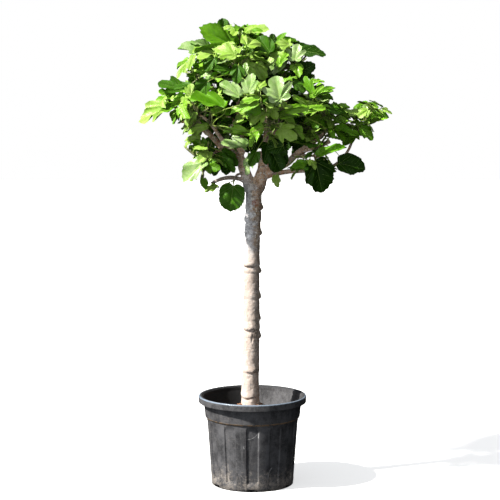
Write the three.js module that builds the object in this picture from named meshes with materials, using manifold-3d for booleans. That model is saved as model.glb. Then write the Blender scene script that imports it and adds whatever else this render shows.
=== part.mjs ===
// A fig tree grown as a standard (one clear stem, a rounded head) in a round fluted nursery pot.
//
// Millimetres, +Z up, the front towards -Y. The origin is the middle of the pot's flat underside.
//
// The tree is worked out in three steps:
//   1. limbs: the trunk and the boughs are tapering sweeps along curves, each cut clear of its parent;
//   2. masses: from each free bough tip a seeded rule grows one stem, shoots off that stem, and leaves
//      spiralling round each shoot, all inside the mass's own share of the head;
//   3. leading leaves: the few leaves that stand out of the head and draw its outline.

import * as THREE from "three";
import { mergeVertices } from "three/addons/utils/BufferGeometryUtils.js";
import Module from "manifold-3d";

const wasm = await Module();
wasm.setup();

// ---------------------------------------------------------------- driving dimensions

const GAP = 0.3; // clearance where one piece rests on or joins another

const POT = {
  height: 411,
  rimRadius: 250, // outside of the collar
  collarDrop: 31, // how far the collar hangs below the rim
  collarWall: 3.5,
  lipWidth: 15, // flat top of the rim, inner edge to outer edge
  bandTopRadius: 228, // plain band between collar and shoulder
  bandFootRadius: 219,
  shoulderHeight: 311,
  bodyTopRadius: 212, // fluted body
  bodyFootRadius: 189,
  footRadius: 186,
  wall: 4.5,
  floor: 20,
  flutes: 12,
  fluteDepth: 4,
  fluteHalfAngle: 7.5, // degrees, half the width of a sunken flute
  fluteEdge: 0.9, // degrees, half the width of its side wall
  fluteFoot: 38,
  fluteHead: 296,
  slots: 6, // drainage slots round the foot
  slotWidth: 46,
  slotHeight: 13,
  slotDepth: 20,
};

const SOIL = { top: 340, edgeDrop: 7, flatRadius: 70, wallClearance: 2 };

const GROUND = SOIL.top + GAP; // the trunk's flat cut

// Spines are lists of points that a smooth curve passes through; radii taper from first to last.
const TRUNK = {
  spine: [
    [-8, 0, GROUND - 8],
    [-10, 0, 430],
    [-4, 0, 750],
    [-3, 0, 1065],
    [4, 0, 1262],
    [6, 0, 1384],
  ],
  sides: 12,
  plainStep: 90, // rings are no further apart than this between the scars
  footRadius: 41,
  middleRadius: 36.5,
  neckRadius: 34,
  forkRadius: 37,
  flare: 5, // root flare at the soil
  flareHeight: 45,
  // Ring scars of old nodes: height, how far they stand out, and the side where the bud scar swells.
  scars: [
    { height: 409, relief: 1.5, knob: 4, side: 235 },
    { height: 526, relief: 1.5, knob: 6, side: 285 },
    { height: 687, relief: 1.5, knob: 8, side: 358 },
    { height: 722, relief: 2, knob: 5, side: 245 },
    { height: 765, relief: 1, knob: 5, side: 5 },
    { height: 866, relief: 1.5, knob: 7, side: 4 },
    { height: 984, relief: 2, knob: 9, side: 354 },
    { height: 1016, relief: 2.5, knob: 6, side: 240 },
    { height: 1160, relief: 2, knob: 7, side: 6 },
    { height: 1218, relief: 1.5, knob: 5, side: 185 },
    { height: 1274, relief: 2, knob: 9, side: 356 },
  ],
  scarWidth: 15,
};

// Boughs. `from` is the limb each one grows out of; its spine starts inside that limb.
const BOUGHS = [
  { name: "bough_left", from: "trunk", radii: [31, 21], sides: 9,
    spine: [[-2, 0, 1318], [-22, -2, 1405], [-44, -6, 1462], [-62, -10, 1516]] },
  { name: "bough_right", from: "trunk", radii: [33, 22], sides: 9,
    spine: [[12, 0, 1318], [33, 0, 1395], [49, 0, 1455], [50, 0, 1532]] },
  { name: "bough_left_outer", from: "bough_left", radii: [17, 10], sides: 7,
    spine: [[-50, -8, 1476], [-104, -4, 1512], [-172, 20, 1584], [-238, 46, 1652]] },
  { name: "bough_left_inner", from: "bough_left", radii: [19, 12], sides: 7,
    spine: [[-58, -9, 1500], [-50, 6, 1560], [-58, 14, 1640], [-62, 18, 1712]] },
  { name: "bough_right_outer", from: "bough_right", radii: [20, 10], sides: 7,
    spine: [[50, -2, 1425], [108, -16, 1455], [160, -30, 1482], [205, -46, 1526], [272, -72, 1572]] },
  { name: "bough_right_inner", from: "bough_right", radii: [18, 10], sides: 7,
    spine: [[50, 0, 1516], [72, -6, 1572], [104, -16, 1650], [128, -24, 1744]] },
  { name: "bough_right_low", from: "bough_right", radii: [12, 5.5], sides: 6,
    spine: [[44, -4, 1415], [160, -6, 1440], [300, -4, 1447], [376, -2, 1470], [430, 0, 1528],
      [458, 0, 1592]] },
  { name: "bough_back", from: "bough_left", radii: [16, 9], sides: 6,
    spine: [[-40, -4, 1452], [-54, 70, 1510], [-68, 150, 1576], [-76, 212, 1636]] },
  { name: "bough_back_right", from: "bough_right", radii: [16, 9], sides: 6,
    spine: [[48, 0, 1462], [88, 60, 1520], [134, 116, 1586], [168, 154, 1640]] },
  { name: "bough_front_left", from: "bough_left", radii: [14, 8], sides: 6,
    spine: [[-52, -8, 1484], [-88, -58, 1530], [-136, -112, 1586], [-172, -152, 1640]] },
  { name: "bough_front", from: "bough_right", radii: [14, 8], sides: 6,
    spine: [[50, -2, 1500], [54, -70, 1556], [58, -148, 1612], [60, -210, 1652]] },
  { name: "bough_upper_left", from: "bough_left_inner", radii: [14, 8], sides: 6,
    spine: [[-54, 10, 1600], [-92, 18, 1668], [-138, 32, 1740], [-174, 42, 1806]] },
  { name: "bough_upper_front", from: "bough_left_inner", radii: [12, 8], sides: 6,
    spine: [[-52, 8, 1566], [-54, -50, 1650], [-62, -112, 1728], [-68, -154, 1800]] },
  { name: "bough_top", from: "bough_left_inner", radii: [11, 8], sides: 6,
    spine: [[-60, 16, 1690], [-54, 18, 1760], [-48, 12, 1826], [-48, 4, 1886]] },
  { name: "bough_upper_back", from: "bough_right_inner", radii: [12, 8], sides: 6,
    spine: [[66, -4, 1556], [62, 58, 1640], [52, 118, 1726], [46, 156, 1800]] },
  { name: "bough_upper_right", from: "bough_right_inner", radii: [11, 8], sides: 6,
    spine: [[112, -20, 1690], [144, -30, 1746], [162, -40, 1800], [172, -46, 1842]] },
  { name: "spur_left", from: "bough_left_outer", radii: [8, 5.5], sides: 6,
    spine: [[-130, 4, 1540], [-162, -40, 1532], [-188, -80, 1512]] },
  { name: "spur_right", from: "bough_right_outer", radii: [9, 6], sides: 6,
    spine: [[186, -42, 1508], [222, -84, 1514], [246, -112, 1516]] },
  { name: "spur_middle", from: "bough_left", radii: [6.5, 5], sides: 6,
    spine: [[-34, -8, 1424], [-52, -38, 1432], [-68, -60, 1428]] },
  { name: "stub_left", from: "bough_left", radii: [10, 7.5], sides: 6,
    spine: [[-26, -4, 1394], [-84, -14, 1412], [-136, -20, 1408], [-188, -24, 1386]] },
];

const STEM_TIP_RADIUS = 4.6;
const SHOOT_RADII = [5, 4.4];
const PETIOLE_RADIUS = 2.2;
const PETIOLE_TAPER = 0.5; // its radius where it is sunk in the shoot, as a share

// The head is shared out between the masses: each keeps to the part of the dome that is nearer to its
// own centre than to any other. A mass with a reach of its own keeps to that ellipsoid instead.
const DOME = { centre: [0, 0, 1745], reach: [455, 450, 378] };
const HEAD_CORE = [-10, 0, 1590]; // leaves face away from here
const MASSES = [
  { name: "leaves_top", bough: "bough_top", centre: [-50, -10, 1985], shoots: 6 },
  { name: "leaves_upper_left", bough: "bough_upper_left", centre: [-205, 50, 1885], shoots: 6 },
  { name: "leaves_upper_right", bough: "bough_upper_right", centre: [165, -60, 1885], shoots: 6 },
  { name: "leaves_upper_front", bough: "bough_upper_front", centre: [-70, -215, 1880], shoots: 6 },
  { name: "leaves_upper_back", bough: "bough_upper_back", centre: [40, 215, 1880], shoots: 6 },
  { name: "leaves_left", bough: "bough_left_outer", centre: [-290, 80, 1705], shoots: 6 },
  { name: "leaves_front_left", bough: "bough_front_left", centre: [-225, -205, 1690], shoots: 7 },
  { name: "leaves_front", bough: "bough_front", centre: [55, -285, 1690], shoots: 7 },
  { name: "leaves_right", bough: "bough_right_outer", centre: [305, -80, 1680], shoots: 7 },
  { name: "leaves_back_right", bough: "bough_back_right", centre: [230, 205, 1690], shoots: 7 },
  { name: "leaves_back", bough: "bough_back", centre: [-75, 285, 1690], shoots: 6 },
  { name: "leaves_far_right", bough: "bough_right_low", centre: [495, 0, 1655],
    reach: [165, 170, 135], shoots: 5 },
  { name: "leaves_low_left", bough: "spur_left", centre: [-205, -110, 1510],
    reach: [150, 150, 150], shoots: 5 },
  { name: "leaves_low_right", bough: "spur_right", centre: [262, -140, 1515],
    reach: [160, 150, 160], shoots: 5 },
  { name: "leaves_low_middle", bough: "spur_middle", centre: [-84, -80, 1400],
    reach: [110, 110, 110], shoots: 0 },
];

const PLAIN_BELOW = 0.4; // leaves less lobed than this have no cuts
const LEAF = { length: 158, spread: 0.3, thickness: 0.018, perShoot: 6 };

// Leaves that stand out of the head. base and tip are the two ends of the blade; lobed runs from 0, a
// plain heart shape, to 1, cut into three; width is a share of the length, and face is the way the
// upper side looks.
const LEADING_LEAVES = {
  leaves_top: [
    { base: [-129, -10, 2063], tip: [-137, -10, 2130], width: 1.0, lobed: 0, face: [0.1, -0.9, 0.3] },
    { base: [-87, -70, 2002], tip: [-238, -90, 2085], width: 0.62, lobed: 0.1, face: [-0.3, -0.8, 0.5] },
    { base: [-47, -40, 2061], tip: [73, -50, 2096], width: 0.75, lobed: 0.8, face: [-0.2, -0.5, 0.8] },
  ],
  leaves_upper_right: [
    { base: [185, -60, 1994], tip: [319, -60, 1985], width: 0.72, lobed: 0.1, face: [0.1, -0.6, 0.8] },
    { base: [87, -40, 2012], tip: [213, -20, 2049], width: 0.7, lobed: 0.6, face: [0.0, -0.6, 0.8] },
    { base: [198, -100, 1873], tip: [286, -100, 1930], width: 0.85, lobed: 0.2, face: [0.3, -0.8, 0.4] },
  ],
  leaves_upper_left: [
    { base: [-202, 30, 1980], tip: [-338, 30, 2011], width: 0.7, lobed: 0.3, face: [-0.1, -0.6, 0.8] },
    { base: [-317, 50, 1809], tip: [-431, 50, 1845], width: 0.75, lobed: 0.2, face: [-0.2, -0.7, 0.6] },
  ],
  leaves_right: [
    { base: [264, -120, 1797], tip: [361, -120, 1815], width: 0.8, lobed: 0.5, face: [0.2, -0.6, 0.7] },
    { base: [325, -60, 1700], tip: [442, -50, 1754], width: 0.6, lobed: 0.3, face: [-0.2, -0.6, 0.8] },
    { base: [317, -130, 1656], tip: [415, -140, 1590], width: 0.9, lobed: 0.6, face: [0.3, -0.7, 0.5] },
  ],
  leaves_left: [
    { base: [-386, 50, 1732], tip: [-509, 40, 1668], width: 0.75, lobed: 0.7, face: [-0.4, -0.6, 0.6] },
    { base: [-343, 110, 1755], tip: [-472, 110, 1746], width: 0.7, lobed: 0.5, face: [-0.2, -0.5, 0.8] },
  ],
  leaves_low_left: [
    { base: [-230, -140, 1478], tip: [-323, -140, 1425], width: 0.8, lobed: 0.1, face: [-0.4, -0.7, 0.5] },
    { base: [-207, -150, 1541], tip: [-268, -160, 1594], width: 0.8, lobed: 0.5, face: [-0.4, -0.7, 0.5] },
    { base: [-136, -120, 1531], tip: [-65, -110, 1469], width: 0.9, lobed: 0.5, face: [0.0, -0.9, 0.3] },
  ],
  leaves_low_middle: [
    { base: [-88, -100, 1374], tip: [-115, -108, 1276], width: 0.95, lobed: 0.1, face: [-0.2, -0.9, 0.2] },
    { base: [-155, -80, 1378], tip: [-209, -84, 1369], width: 0.8, lobed: 0.1, face: [-0.2, -0.5, 0.8] },
  ],
  leaves_low_right: [
    { base: [240, -176, 1485], tip: [299, -170, 1360], width: 0.9, lobed: 0.1, face: [0.3, -0.9, 0.2] },
    { base: [381, -130, 1478], tip: [492, -130, 1474], width: 0.8, lobed: 0.1, face: [0.2, -0.8, 0.5] },
  ],
  leaves_far_right: [
    { base: [496, 0, 1691], tip: [632, 0, 1709], width: 0.6, lobed: 0.6, face: [0.0, -0.6, 0.8] },
    { base: [478, 60, 1727], tip: [579, 70, 1764], width: 0.8, lobed: 0.5, face: [0.0, -0.6, 0.8] },
    { base: [466, -40, 1628], tip: [539, -40, 1556], width: 0.8, lobed: 0.3, face: [0.3, -0.8, 0.3] },
  ],
  leaves_front: [
    { base: [67, -260, 1574], tip: [124, -260, 1452], width: 0.85, lobed: 0.3, face: [0.1, -0.9, 0.2] },
  ],
};

// ---------------------------------------------------------------- small helpers

const vec = (p) => new THREE.Vector3(...p);
const UP = new THREE.Vector3(0, 0, 1);
const GOLDEN_ANGLE = Math.PI * (3 - Math.sqrt(5));
const degrees = THREE.MathUtils.degToRad;
const { lerp, clamp } = THREE.MathUtils;

// A seeded stream of numbers from 0 to 1 (the "mulberry32" mix).
function randomFrom(seed) {
  let state = seed | 0;
  return () => {
    state = (state + 0x6d2b79f5) | 0;
    let t = Math.imul(state ^ (state >>> 15), 1 | state);
    t = (t + Math.imul(t ^ (t >>> 7), 61 | t)) ^ t;
    return ((t ^ (t >>> 14)) >>> 0) / 4294967296;
  };
}

// Any unit vector square to `axis`, turned round it by `turn`.
function squareTo(axis, turn) {
  const reference = Math.abs(axis.z) < 0.9 ? UP : new THREE.Vector3(1, 0, 0);
  const side = new THREE.Vector3().crossVectors(reference, axis).normalize();
  return side.applyAxisAngle(axis, turn);
}

const curveThrough = (spine) => new THREE.CatmullRomCurve3(spine.map(vec), false, "centripetal");

// ---------------------------------------------------------------- solids

function solidFrom(points, triangles) {
  const vertProperties = new Float32Array(points.flatMap((p) => [p.x, p.y, p.z]));
  const triVerts = new Uint32Array(triangles);
  return new wasm.Manifold(new wasm.Mesh({ numProp: 3, vertProperties, triVerts }));
}

function solidFromGeometry(source) {
  const bare = new THREE.BufferGeometry();
  bare.setAttribute("position", source.getAttribute("position"));
  if (source.index) bare.setIndex(source.index);
  const merged = mergeVertices(bare, 1e-3);
  return new wasm.Manifold(
    new wasm.Mesh({
      numProp: 3,
      vertProperties: merged.getAttribute("position").array,
      triVerts: new Uint32Array(merged.index.array),
    }),
  );
}

function geometryFrom(solid) {
  const mesh = solid.getMesh();
  const positions = new Float32Array(mesh.numVert * 3);
  for (let i = 0; i < mesh.numVert; i++) {
    positions.set(mesh.vertProperties.subarray(i * mesh.numProp, i * mesh.numProp + 3), i * 3);
  }
  const geometry = new THREE.BufferGeometry();
  geometry.setAttribute("position", new THREE.BufferAttribute(positions, 3));
  geometry.setIndex(new THREE.BufferAttribute(mesh.triVerts, 1));
  return geometry;
}

// The largest body of a solid: loose scraps go, and so do sealed hollows.
function mainBody(solid) {
  return solid.decompose().reduce((a, b) => (b.volume() > a.volume() ? b : a));
}

// A closed tube through `centres`. radiusAt(share, angle, centre) gives its radius, share running from
// 0 at the first ring to 1 at the last. `start` turns the first ring square to a given direction, and
// `overrun` pushes the last ring on past its centre.
function sweep(centres, radiusAt, sides, { start = null, overrun = 0 } = {}) {
  const rings = centres.length;
  const frames = ringFrames(centres, start);
  frames[rings - 1].centre.addScaledVector(frames[rings - 1].along, overrun);
  const points = frames.flatMap(({ centre, side, lift }, ring) =>
    Array.from({ length: sides }, (_, k) => {
      const angle = (2 * Math.PI * k) / sides;
      const radius = radiusAt(ring / (rings - 1), angle, centre);
      return centre
        .clone()
        .addScaledVector(side, radius * Math.cos(angle))
        .addScaledVector(lift, radius * Math.sin(angle));
    }),
  );
  const triangles = [];
  for (let ring = 0; ring + 1 < rings; ring++) {
    for (let k = 0; k < sides; k++) {
      const a = ring * sides + k;
      const b = ring * sides + ((k + 1) % sides);
      triangles.push(a, b, b + sides, a, b + sides, a + sides);
    }
  }
  const last = (rings - 1) * sides;
  for (let k = 1; k + 1 < sides; k++) {
    triangles.push(0, k + 1, k, last, last + k, last + k + 1);
  }
  return solidFrom(points, triangles);
}

// Each ring's axes, turned as little as possible from one ring to the next.
function ringFrames(centres, start) {
  const legs = centres.slice(1).map((p, i) => p.clone().sub(centres[i]).normalize());
  let side = null;
  return centres.map((centre, i) => {
    const before = legs[Math.max(0, i - 1)];
    const after = legs[Math.min(legs.length - 1, i)];
    const along = i === 0 && start ? start.clone() : before.clone().add(after).normalize();
    side = side ?? new THREE.Vector3(1, 0, 0);
    side = side.clone().addScaledVector(along, -side.dot(along)).normalize();
    return { centre: centre.clone(), along, side, lift: new THREE.Vector3().crossVectors(along, side) };
  });
}

// ---------------------------------------------------------------- pot and soil

// The pot's section from the middle of its underside, out and up the outside, then down the inside.
// `sunk` is how deep the flute is where the section is taken.
function potSection(sunk) {
  const p = POT;
  const slope = (p.bodyTopRadius - p.bodyFootRadius) / p.shoulderHeight;
  const bodyRadius = (height) => p.bodyFootRadius + slope * height;
  const collarFoot = p.height - p.collarDrop;
  const rimInner = p.rimRadius - p.lipWidth;
  const underRim = p.height - p.collarWall - 3;
  return [
    [0, 0],
    [p.footRadius - 3, 0],
    [p.footRadius, 4],
    [bodyRadius(p.fluteFoot), p.fluteFoot],
    [bodyRadius(p.fluteFoot) - sunk, p.fluteFoot + sunk + 0.01],
    [bodyRadius(p.fluteHead) - sunk, p.fluteHead - sunk],
    [bodyRadius(p.fluteHead), p.fluteHead + 0.01],
    [p.bodyTopRadius, p.shoulderHeight - 3],
    [p.bandFootRadius, p.shoulderHeight],
    [p.bandTopRadius, underRim],
    [p.rimRadius - p.collarWall, underRim],
    [p.rimRadius - p.collarWall, collarFoot],
    [p.rimRadius, collarFoot],
    [p.rimRadius, p.height - 4],
    [p.rimRadius - 4, p.height],
    [rimInner, p.height],
    [p.bandTopRadius - p.wall, collarFoot],
    [bodyRadius(p.fluteHead) - p.wall - sunk, p.fluteHead],
    [bodyRadius(p.floor) - p.wall - p.fluteDepth, p.floor],
    [0, p.floor],
  ].map(([radius, height]) => new THREE.Vector2(radius, height));
}

// The four angles of one flute's corners, in degrees from its middle, with how deep each one is.
const FLUTE_CORNERS = [
  { angle: -POT.fluteHalfAngle - POT.fluteEdge, sunk: 0 },
  { angle: -POT.fluteHalfAngle + POT.fluteEdge, sunk: POT.fluteDepth },
  { angle: POT.fluteHalfAngle - POT.fluteEdge, sunk: POT.fluteDepth },
  { angle: POT.fluteHalfAngle + POT.fluteEdge, sunk: 0 },
];

// A lathe turned in as many steps as the flutes have corners, each step then moved to its corner.
function pot() {
  const steps = POT.flutes * FLUTE_CORNERS.length;
  const geometry = new THREE.LatheGeometry(potSection(0), steps);
  const position = geometry.getAttribute("position");
  const perStep = potSection(0).length;
  for (let step = 0; step <= steps; step++) {
    const corner = FLUTE_CORNERS[step % FLUTE_CORNERS.length];
    const flute = Math.floor(step / FLUTE_CORNERS.length) % POT.flutes;
    const angle = degrees((flute * 360) / POT.flutes + corner.angle);
    potSection(corner.sunk).forEach((point, i) => {
      // Angle 0 faces the front, -Y; the lathe's own Y becomes the height.
      position.setXYZ(step * perStep + i, point.x * Math.sin(angle), -point.x * Math.cos(angle), point.y);
    });
  }
  let solid = solidFromGeometry(geometry);
  for (let slot = 0; slot < POT.slots; slot++) {
    solid = solid.subtract(drainageSlot((slot * 360) / POT.slots));
  }
  return solid;
}

function drainageSlot(angle) {
  const box = new THREE.BoxGeometry(POT.slotWidth, 2 * POT.slotDepth, 2 * POT.slotHeight);
  box.translate(0, -POT.footRadius, 0).rotateZ(degrees(angle));
  return solidFromGeometry(box);
}

function soil() {
  const p = POT;
  const clear = p.wall + p.fluteDepth + SOIL.wallClearance;
  const slope = (p.bodyTopRadius - p.bodyFootRadius) / p.shoulderHeight;
  const edge = SOIL.top - SOIL.edgeDrop;
  const section = [
    [0, p.floor + GAP],
    [p.bodyFootRadius - clear, p.floor + GAP],
    [p.bodyFootRadius + slope * p.fluteHead - clear, p.fluteHead],
    [p.bandFootRadius - clear, edge],
    [SOIL.flatRadius, SOIL.top],
    [0, SOIL.top],
  ].map(([radius, height]) => new THREE.Vector2(radius, height));
  return solidFromGeometry(new THREE.LatheGeometry(section, 24).rotateX(Math.PI / 2));
}

// ---------------------------------------------------------------- trunk and boughs

function trunkRadius(height, angle, grow) {
  const t = TRUNK;
  const [foot, fork] = [t.spine[0][2], t.spine[t.spine.length - 1][2]];
  const middle = (foot + fork) / 2;
  const neck = lerp(foot, fork, 0.86);
  let radius = t.footRadius;
  if (height < middle) radius = lerp(t.footRadius, t.middleRadius, (height - foot) / (middle - foot));
  else if (height < neck) radius = lerp(t.middleRadius, t.neckRadius, (height - middle) / (neck - middle));
  else radius = lerp(t.neckRadius, t.forkRadius, (height - neck) / (fork - neck));
  radius += t.flare * Math.exp(-(height - foot) / t.flareHeight);
  for (const scar of t.scars) {
    const near = Math.exp(-(((height - scar.height) / t.scarWidth) ** 2));
    const facing = Math.max(0, Math.cos(angle - degrees(scar.side))) ** 6;
    radius += near * (scar.relief + scar.knob * facing);
  }
  return radius + grow;
}

// The trunk's rings: one on each scar and at its edges, and a few between.
function trunkHeights() {
  const { spine, scars, scarWidth, plainStep } = TRUNK;
  const [foot, fork] = [spine[0][2], spine[spine.length - 1][2]];
  const onScars = scars.flatMap(({ height }) => [height - scarWidth, height, height + scarWidth]);
  const heights = [foot];
  for (const height of [foot + TRUNK.flareHeight, ...onScars].sort((a, b) => a - b)) {
    const last = heights[heights.length - 1];
    if (height - last > plainStep) heights.push((height + last) / 2);
    if (height - last > 0.5 * scarWidth && fork - height > 0.5 * scarWidth) heights.push(height);
  }
  return [...heights, (heights[heights.length - 1] + fork) / 2, fork];
}

function trunkCentres() {
  const points = curveThrough(TRUNK.spine).getSpacedPoints(400);
  return trunkHeights().map((height) => {
    const above = Math.max(1, points.findIndex((p) => p.z >= height - 1e-6));
    const [low, high] = [points[above - 1], points[above]];
    return low.clone().lerp(high, (height - low.z) / (high.z - low.z));
  });
}

// grow widens a limb, to cut its neighbours clear of it.
function trunk(grow = 0) {
  const radiusAt = (share, angle, centre) => trunkRadius(centre.z, angle, grow);
  return sweep(trunkCentres(), radiusAt, TRUNK.sides, { overrun: grow }).trimByPlane([0, 0, 1], GROUND);
}

const BOUGH_RING_SPACING = 70;

function boughCentres({ spine }) {
  const curve = curveThrough(spine);
  return curve.getSpacedPoints(Math.max(3, Math.round(curve.getLength() / BOUGH_RING_SPACING)));
}

function bough(b, grow = 0) {
  const radiusAt = (share) => lerp(b.radii[0], b.radii[1], share) + grow;
  return sweep(boughCentres(b), radiusAt, b.sides, { overrun: grow });
}

// Every limb by name, each cut clear of the ones before it.
function limbs() {
  const made = new Map([["trunk", trunk()]]);
  const wide = [trunk(GAP)];
  for (const b of BOUGHS) {
    const clear = wide.reduce((solid, other) => solid.subtract(other), bough(b));
    made.set(b.name, mainBody(clear));
    wide.push(bough(b, GAP));
  }
  return made;
}

// ---------------------------------------------------------------- leaves

// Half of a blade's outline, as shares of its length along the midrib and out from it: the lobe at its
// base, the side lobe, the cut above that if there is one, the shoulder and the tip.
function halfOutline(lobed) {
  const cut = lobed < PLAIN_BELOW ? [] : [[lerp(0.6, 0.47, lobed), lerp(0.36, 0.2, lobed)]];
  return [[-0.07, 0.34], [0.5, 0.5], ...cut, [0.78, 0.26], [1, 0]];
}

// One leaf with its petiole as one closed mesh: a thin lens over the outline, open at the base, where
// the petiole's three sides leave it.
function leafPoints(leaf) {
  const { base, along, face, length, width, lobed, fold, droop, root } = leaf;
  const across = new THREE.Vector3().crossVectors(face, along);
  const at = (u, v, rise) =>
    base
      .clone()
      .addScaledVector(along, u * length)
      .addScaledVector(across, v * length * width * 1.05)
      .addScaledVector(face, rise + length * (fold * Math.abs(v) - droop * Math.max(0, u) ** 2));
  const half = halfOutline(lobed);
  const left = [...half].reverse().map(([u, v]) => at(u, v, 0)); // tip first
  const right = half.slice(0, -1).map(([u, v]) => at(u, -v, 0));
  const petioleWay = base.clone().sub(root).normalize();
  const crest = new THREE.Vector3().crossVectors(petioleWay, across).normalize();
  const section = [
    across.clone().multiplyScalar(PETIOLE_RADIUS),
    crest.clone().multiplyScalar(1.4 * PETIOLE_RADIUS),
    across.clone().multiplyScalar(-PETIOLE_RADIUS),
  ];
  const ring = section.map((p) => base.clone().add(p));
  const rootRing = section.map((p) => root.clone().addScaledVector(p, PETIOLE_TAPER));
  const rise = (LEAF.thickness * length) / 2;
  return { left, right, ring, rootRing, top: at(0.36, 0, rise), under: at(0.36, 0, -rise) };
}

function leafSolid(leaf) {
  const { left, right, ring, rootRing, top, under } = leafPoints(leaf);
  const outline = [...left, ring[0], ring[2], ...right];
  const points = [...outline, top, under, ring[1], ...rootRing];
  const [TOP, UNDER, CREST] = [outline.length, outline.length + 1, outline.length + 2];
  const [L, R] = [left.length, left.length + 1];
  const [rootL, rootCrest, rootR] = [CREST + 1, CREST + 2, CREST + 3];
  const triangles = [];
  outline.forEach((_, i) => {
    const next = (i + 1) % outline.length;
    if (i !== L) triangles.push(TOP, i, next);
    triangles.push(UNDER, next, i);
  });
  triangles.push(TOP, L, CREST, TOP, CREST, R);
  triangles.push(CREST, L, rootL, CREST, rootL, rootCrest);
  triangles.push(R, CREST, rootCrest, R, rootCrest, rootR);
  triangles.push(L, R, rootR, L, rootR, rootL);
  triangles.push(rootCrest, rootL, rootR);
  return solidFrom(points, triangles);
}

// ---------------------------------------------------------------- masses of foliage

const SHOOT_LENGTH = 90;
const MARGIN = 1.5; // how far twigs and leaves keep inside their mass's space
const TRIES = 60; // other ways that a leaf is turned before it is left out
const LIMB_CLEARANCE = 1; // between foliage and the limbs
const FIRST_SEED = 101;

// Whether a point lies in this mass's share of the head.
function inSpace(point, mass) {
  const centre = vec(mass.centre);
  const bounds = mass.reach ? mass : DOME;
  if (point.clone().sub(vec(bounds.centre)).divide(vec(bounds.reach)).length() > 1) return false;
  const offset = point.clone().sub(centre);
  return MASSES.every((other) => {
    if (other === mass) return true;
    const towards = vec(other.centre).sub(centre);
    const half = towards.length() / 2;
    return offset.dot(towards.normalize()) < half - MARGIN;
  });
}

function boughEnd(name) {
  const found = BOUGHS.find((b) => b.name === name);
  const centres = boughCentres(found);
  const [before, point] = centres.slice(-2);
  return { point, along: point.clone().sub(before).normalize(), radius: found.radii[1] };
}

// The way out of the head at a mass's centre.
const outwardOf = (mass) => vec(mass.centre).sub(vec(HEAD_CORE)).normalize();

// The stem leaves the bough's end in line with it and bends towards the mass's centre and past it.
function stemCentres(mass, end) {
  const start = end.point.clone().addScaledVector(end.along, GAP);
  const past = mass.shoots ? 0.6 * SHOOT_LENGTH : 0;
  const finish = vec(mass.centre).addScaledVector(outwardOf(mass), past);
  const bend = start.clone().addScaledVector(end.along, 0.5 * start.distanceTo(finish));
  return new THREE.QuadraticBezierCurve3(start, bend, finish).getSpacedPoints(4);
}

// Shoots leave the stem one after another, fanning out round it and less steeply towards its foot.
function shootCentres(mass, stem, index) {
  const share = (index + 0.5) / mass.shoots;
  const { point: start, along: axis } = pointAlong(stem, lerp(0.8, 0.25, share));
  const open = lerp(0.75, 1.7, share);
  const way = axis
    .clone()
    .multiplyScalar(Math.cos(open))
    .addScaledVector(squareTo(axis, index * GOLDEN_ANGLE), Math.sin(open));
  way.z += 0.15;
  way.normalize();
  const middle = start.clone().addScaledVector(way, 0.5 * SHOOT_LENGTH);
  middle.z -= 0.08 * SHOOT_LENGTH;
  return [start, middle, start.clone().addScaledVector(way, SHOOT_LENGTH)];
}

// A point a share of the way along a chain of points, and the chain's direction there.
function pointAlong(chain, share) {
  const place = clamp(share, 0, 1) * (chain.length - 1);
  const leg = Math.min(Math.floor(place), chain.length - 2);
  return {
    point: chain[leg].clone().lerp(chain[leg + 1], place - leg),
    along: chain[leg + 1].clone().sub(chain[leg]).normalize(),
  };
}

// The leaf at place `order` down a shoot (0 at its tip), turned by the golden angle from the last.
function shootLeaf(shoot, order, attempt, random) {
  const share = order / (LEAF.perShoot - 1);
  const { point: seat, along: axis } = pointAlong(shoot, 0.98 - 0.68 * share);
  const freedom = attempt / TRIES;
  const turn = order * GOLDEN_ANGLE + (0.6 + 2.4 * freedom) * 2 * (random() - 0.5);
  const open = lerp(0.5, 1.4, share) + (0.3 + 0.7 * freedom) * 2 * (random() - 0.5);
  const petioleWay = axis
    .clone()
    .multiplyScalar(Math.cos(open))
    .addScaledVector(squareTo(axis, turn), Math.sin(open));
  petioleWay.z += 0.15;
  petioleWay.normalize();
  const young = lerp(0.85, 1, share);
  const shrunk = 1 - 0.22 * freedom;
  const length = LEAF.length * young * shrunk * (1 + LEAF.spread * (random() - 0.5));
  const base = seat.clone().addScaledVector(petioleWay, lerp(0.2, 0.45, random()) * length);
  const outward = base.clone().sub(vec(HEAD_CORE)).normalize();
  const face = new THREE.Vector3(random() - 0.5, random() - 0.5, random() - 0.5)
    .multiplyScalar(1.3)
    .addScaledVector(UP, 0.7)
    .addScaledVector(outward, 0.8)
    .normalize();
  const along = petioleWay.clone().multiplyScalar(0.7).addScaledVector(outward, 0.2);
  along.addScaledVector(squareTo(face, 2 * Math.PI * random()), 0.5);
  along.z -= lerp(0, 0.8, random());
  along.addScaledVector(face, -along.dot(face)).normalize();
  return {
    root: seat,
    base,
    along,
    face,
    length,
    width: lerp(0.85, 1, random()),
    lobed: random(),
    fold: lerp(0.08, 0.3, random()),
    droop: lerp(0.05, 0.25, random()),
  };
}

// A leading leaf's blade, with a stub of petiole in line with it.
function bladeOf({ base, tip, width, lobed, face }) {
  const start = vec(base);
  const along = vec(tip).sub(start);
  const length = along.length();
  along.normalize();
  const look = vec(face);
  look.addScaledVector(along, -look.dot(along)).normalize();
  const root = start.clone().addScaledVector(along, -8);
  return { root, base: start, along, face: look, length, width, lobed, fold: 0.12, droop: 0.06 };
}

// The ways a leading leaf can be tied to a mass's shoots, from the nearest seat outwards.
const SEATS = [0.2, 0.35, 0.5, 0.65, 0.8, 0.95];
function leadingLeaf(lead, { stem, shoots }) {
  const blade = bladeOf(lead);
  const away = (p) => p.distanceTo(blade.base);
  const seats = [stem, ...shoots].flatMap((twig) => SEATS.map((share) => pointAlong(twig, share).point));
  seats.sort((a, b) => away(a) - away(b));
  return seats.map((root) => ({ ...blade, root })).filter(wellHung).slice(0, 20);
}

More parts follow.
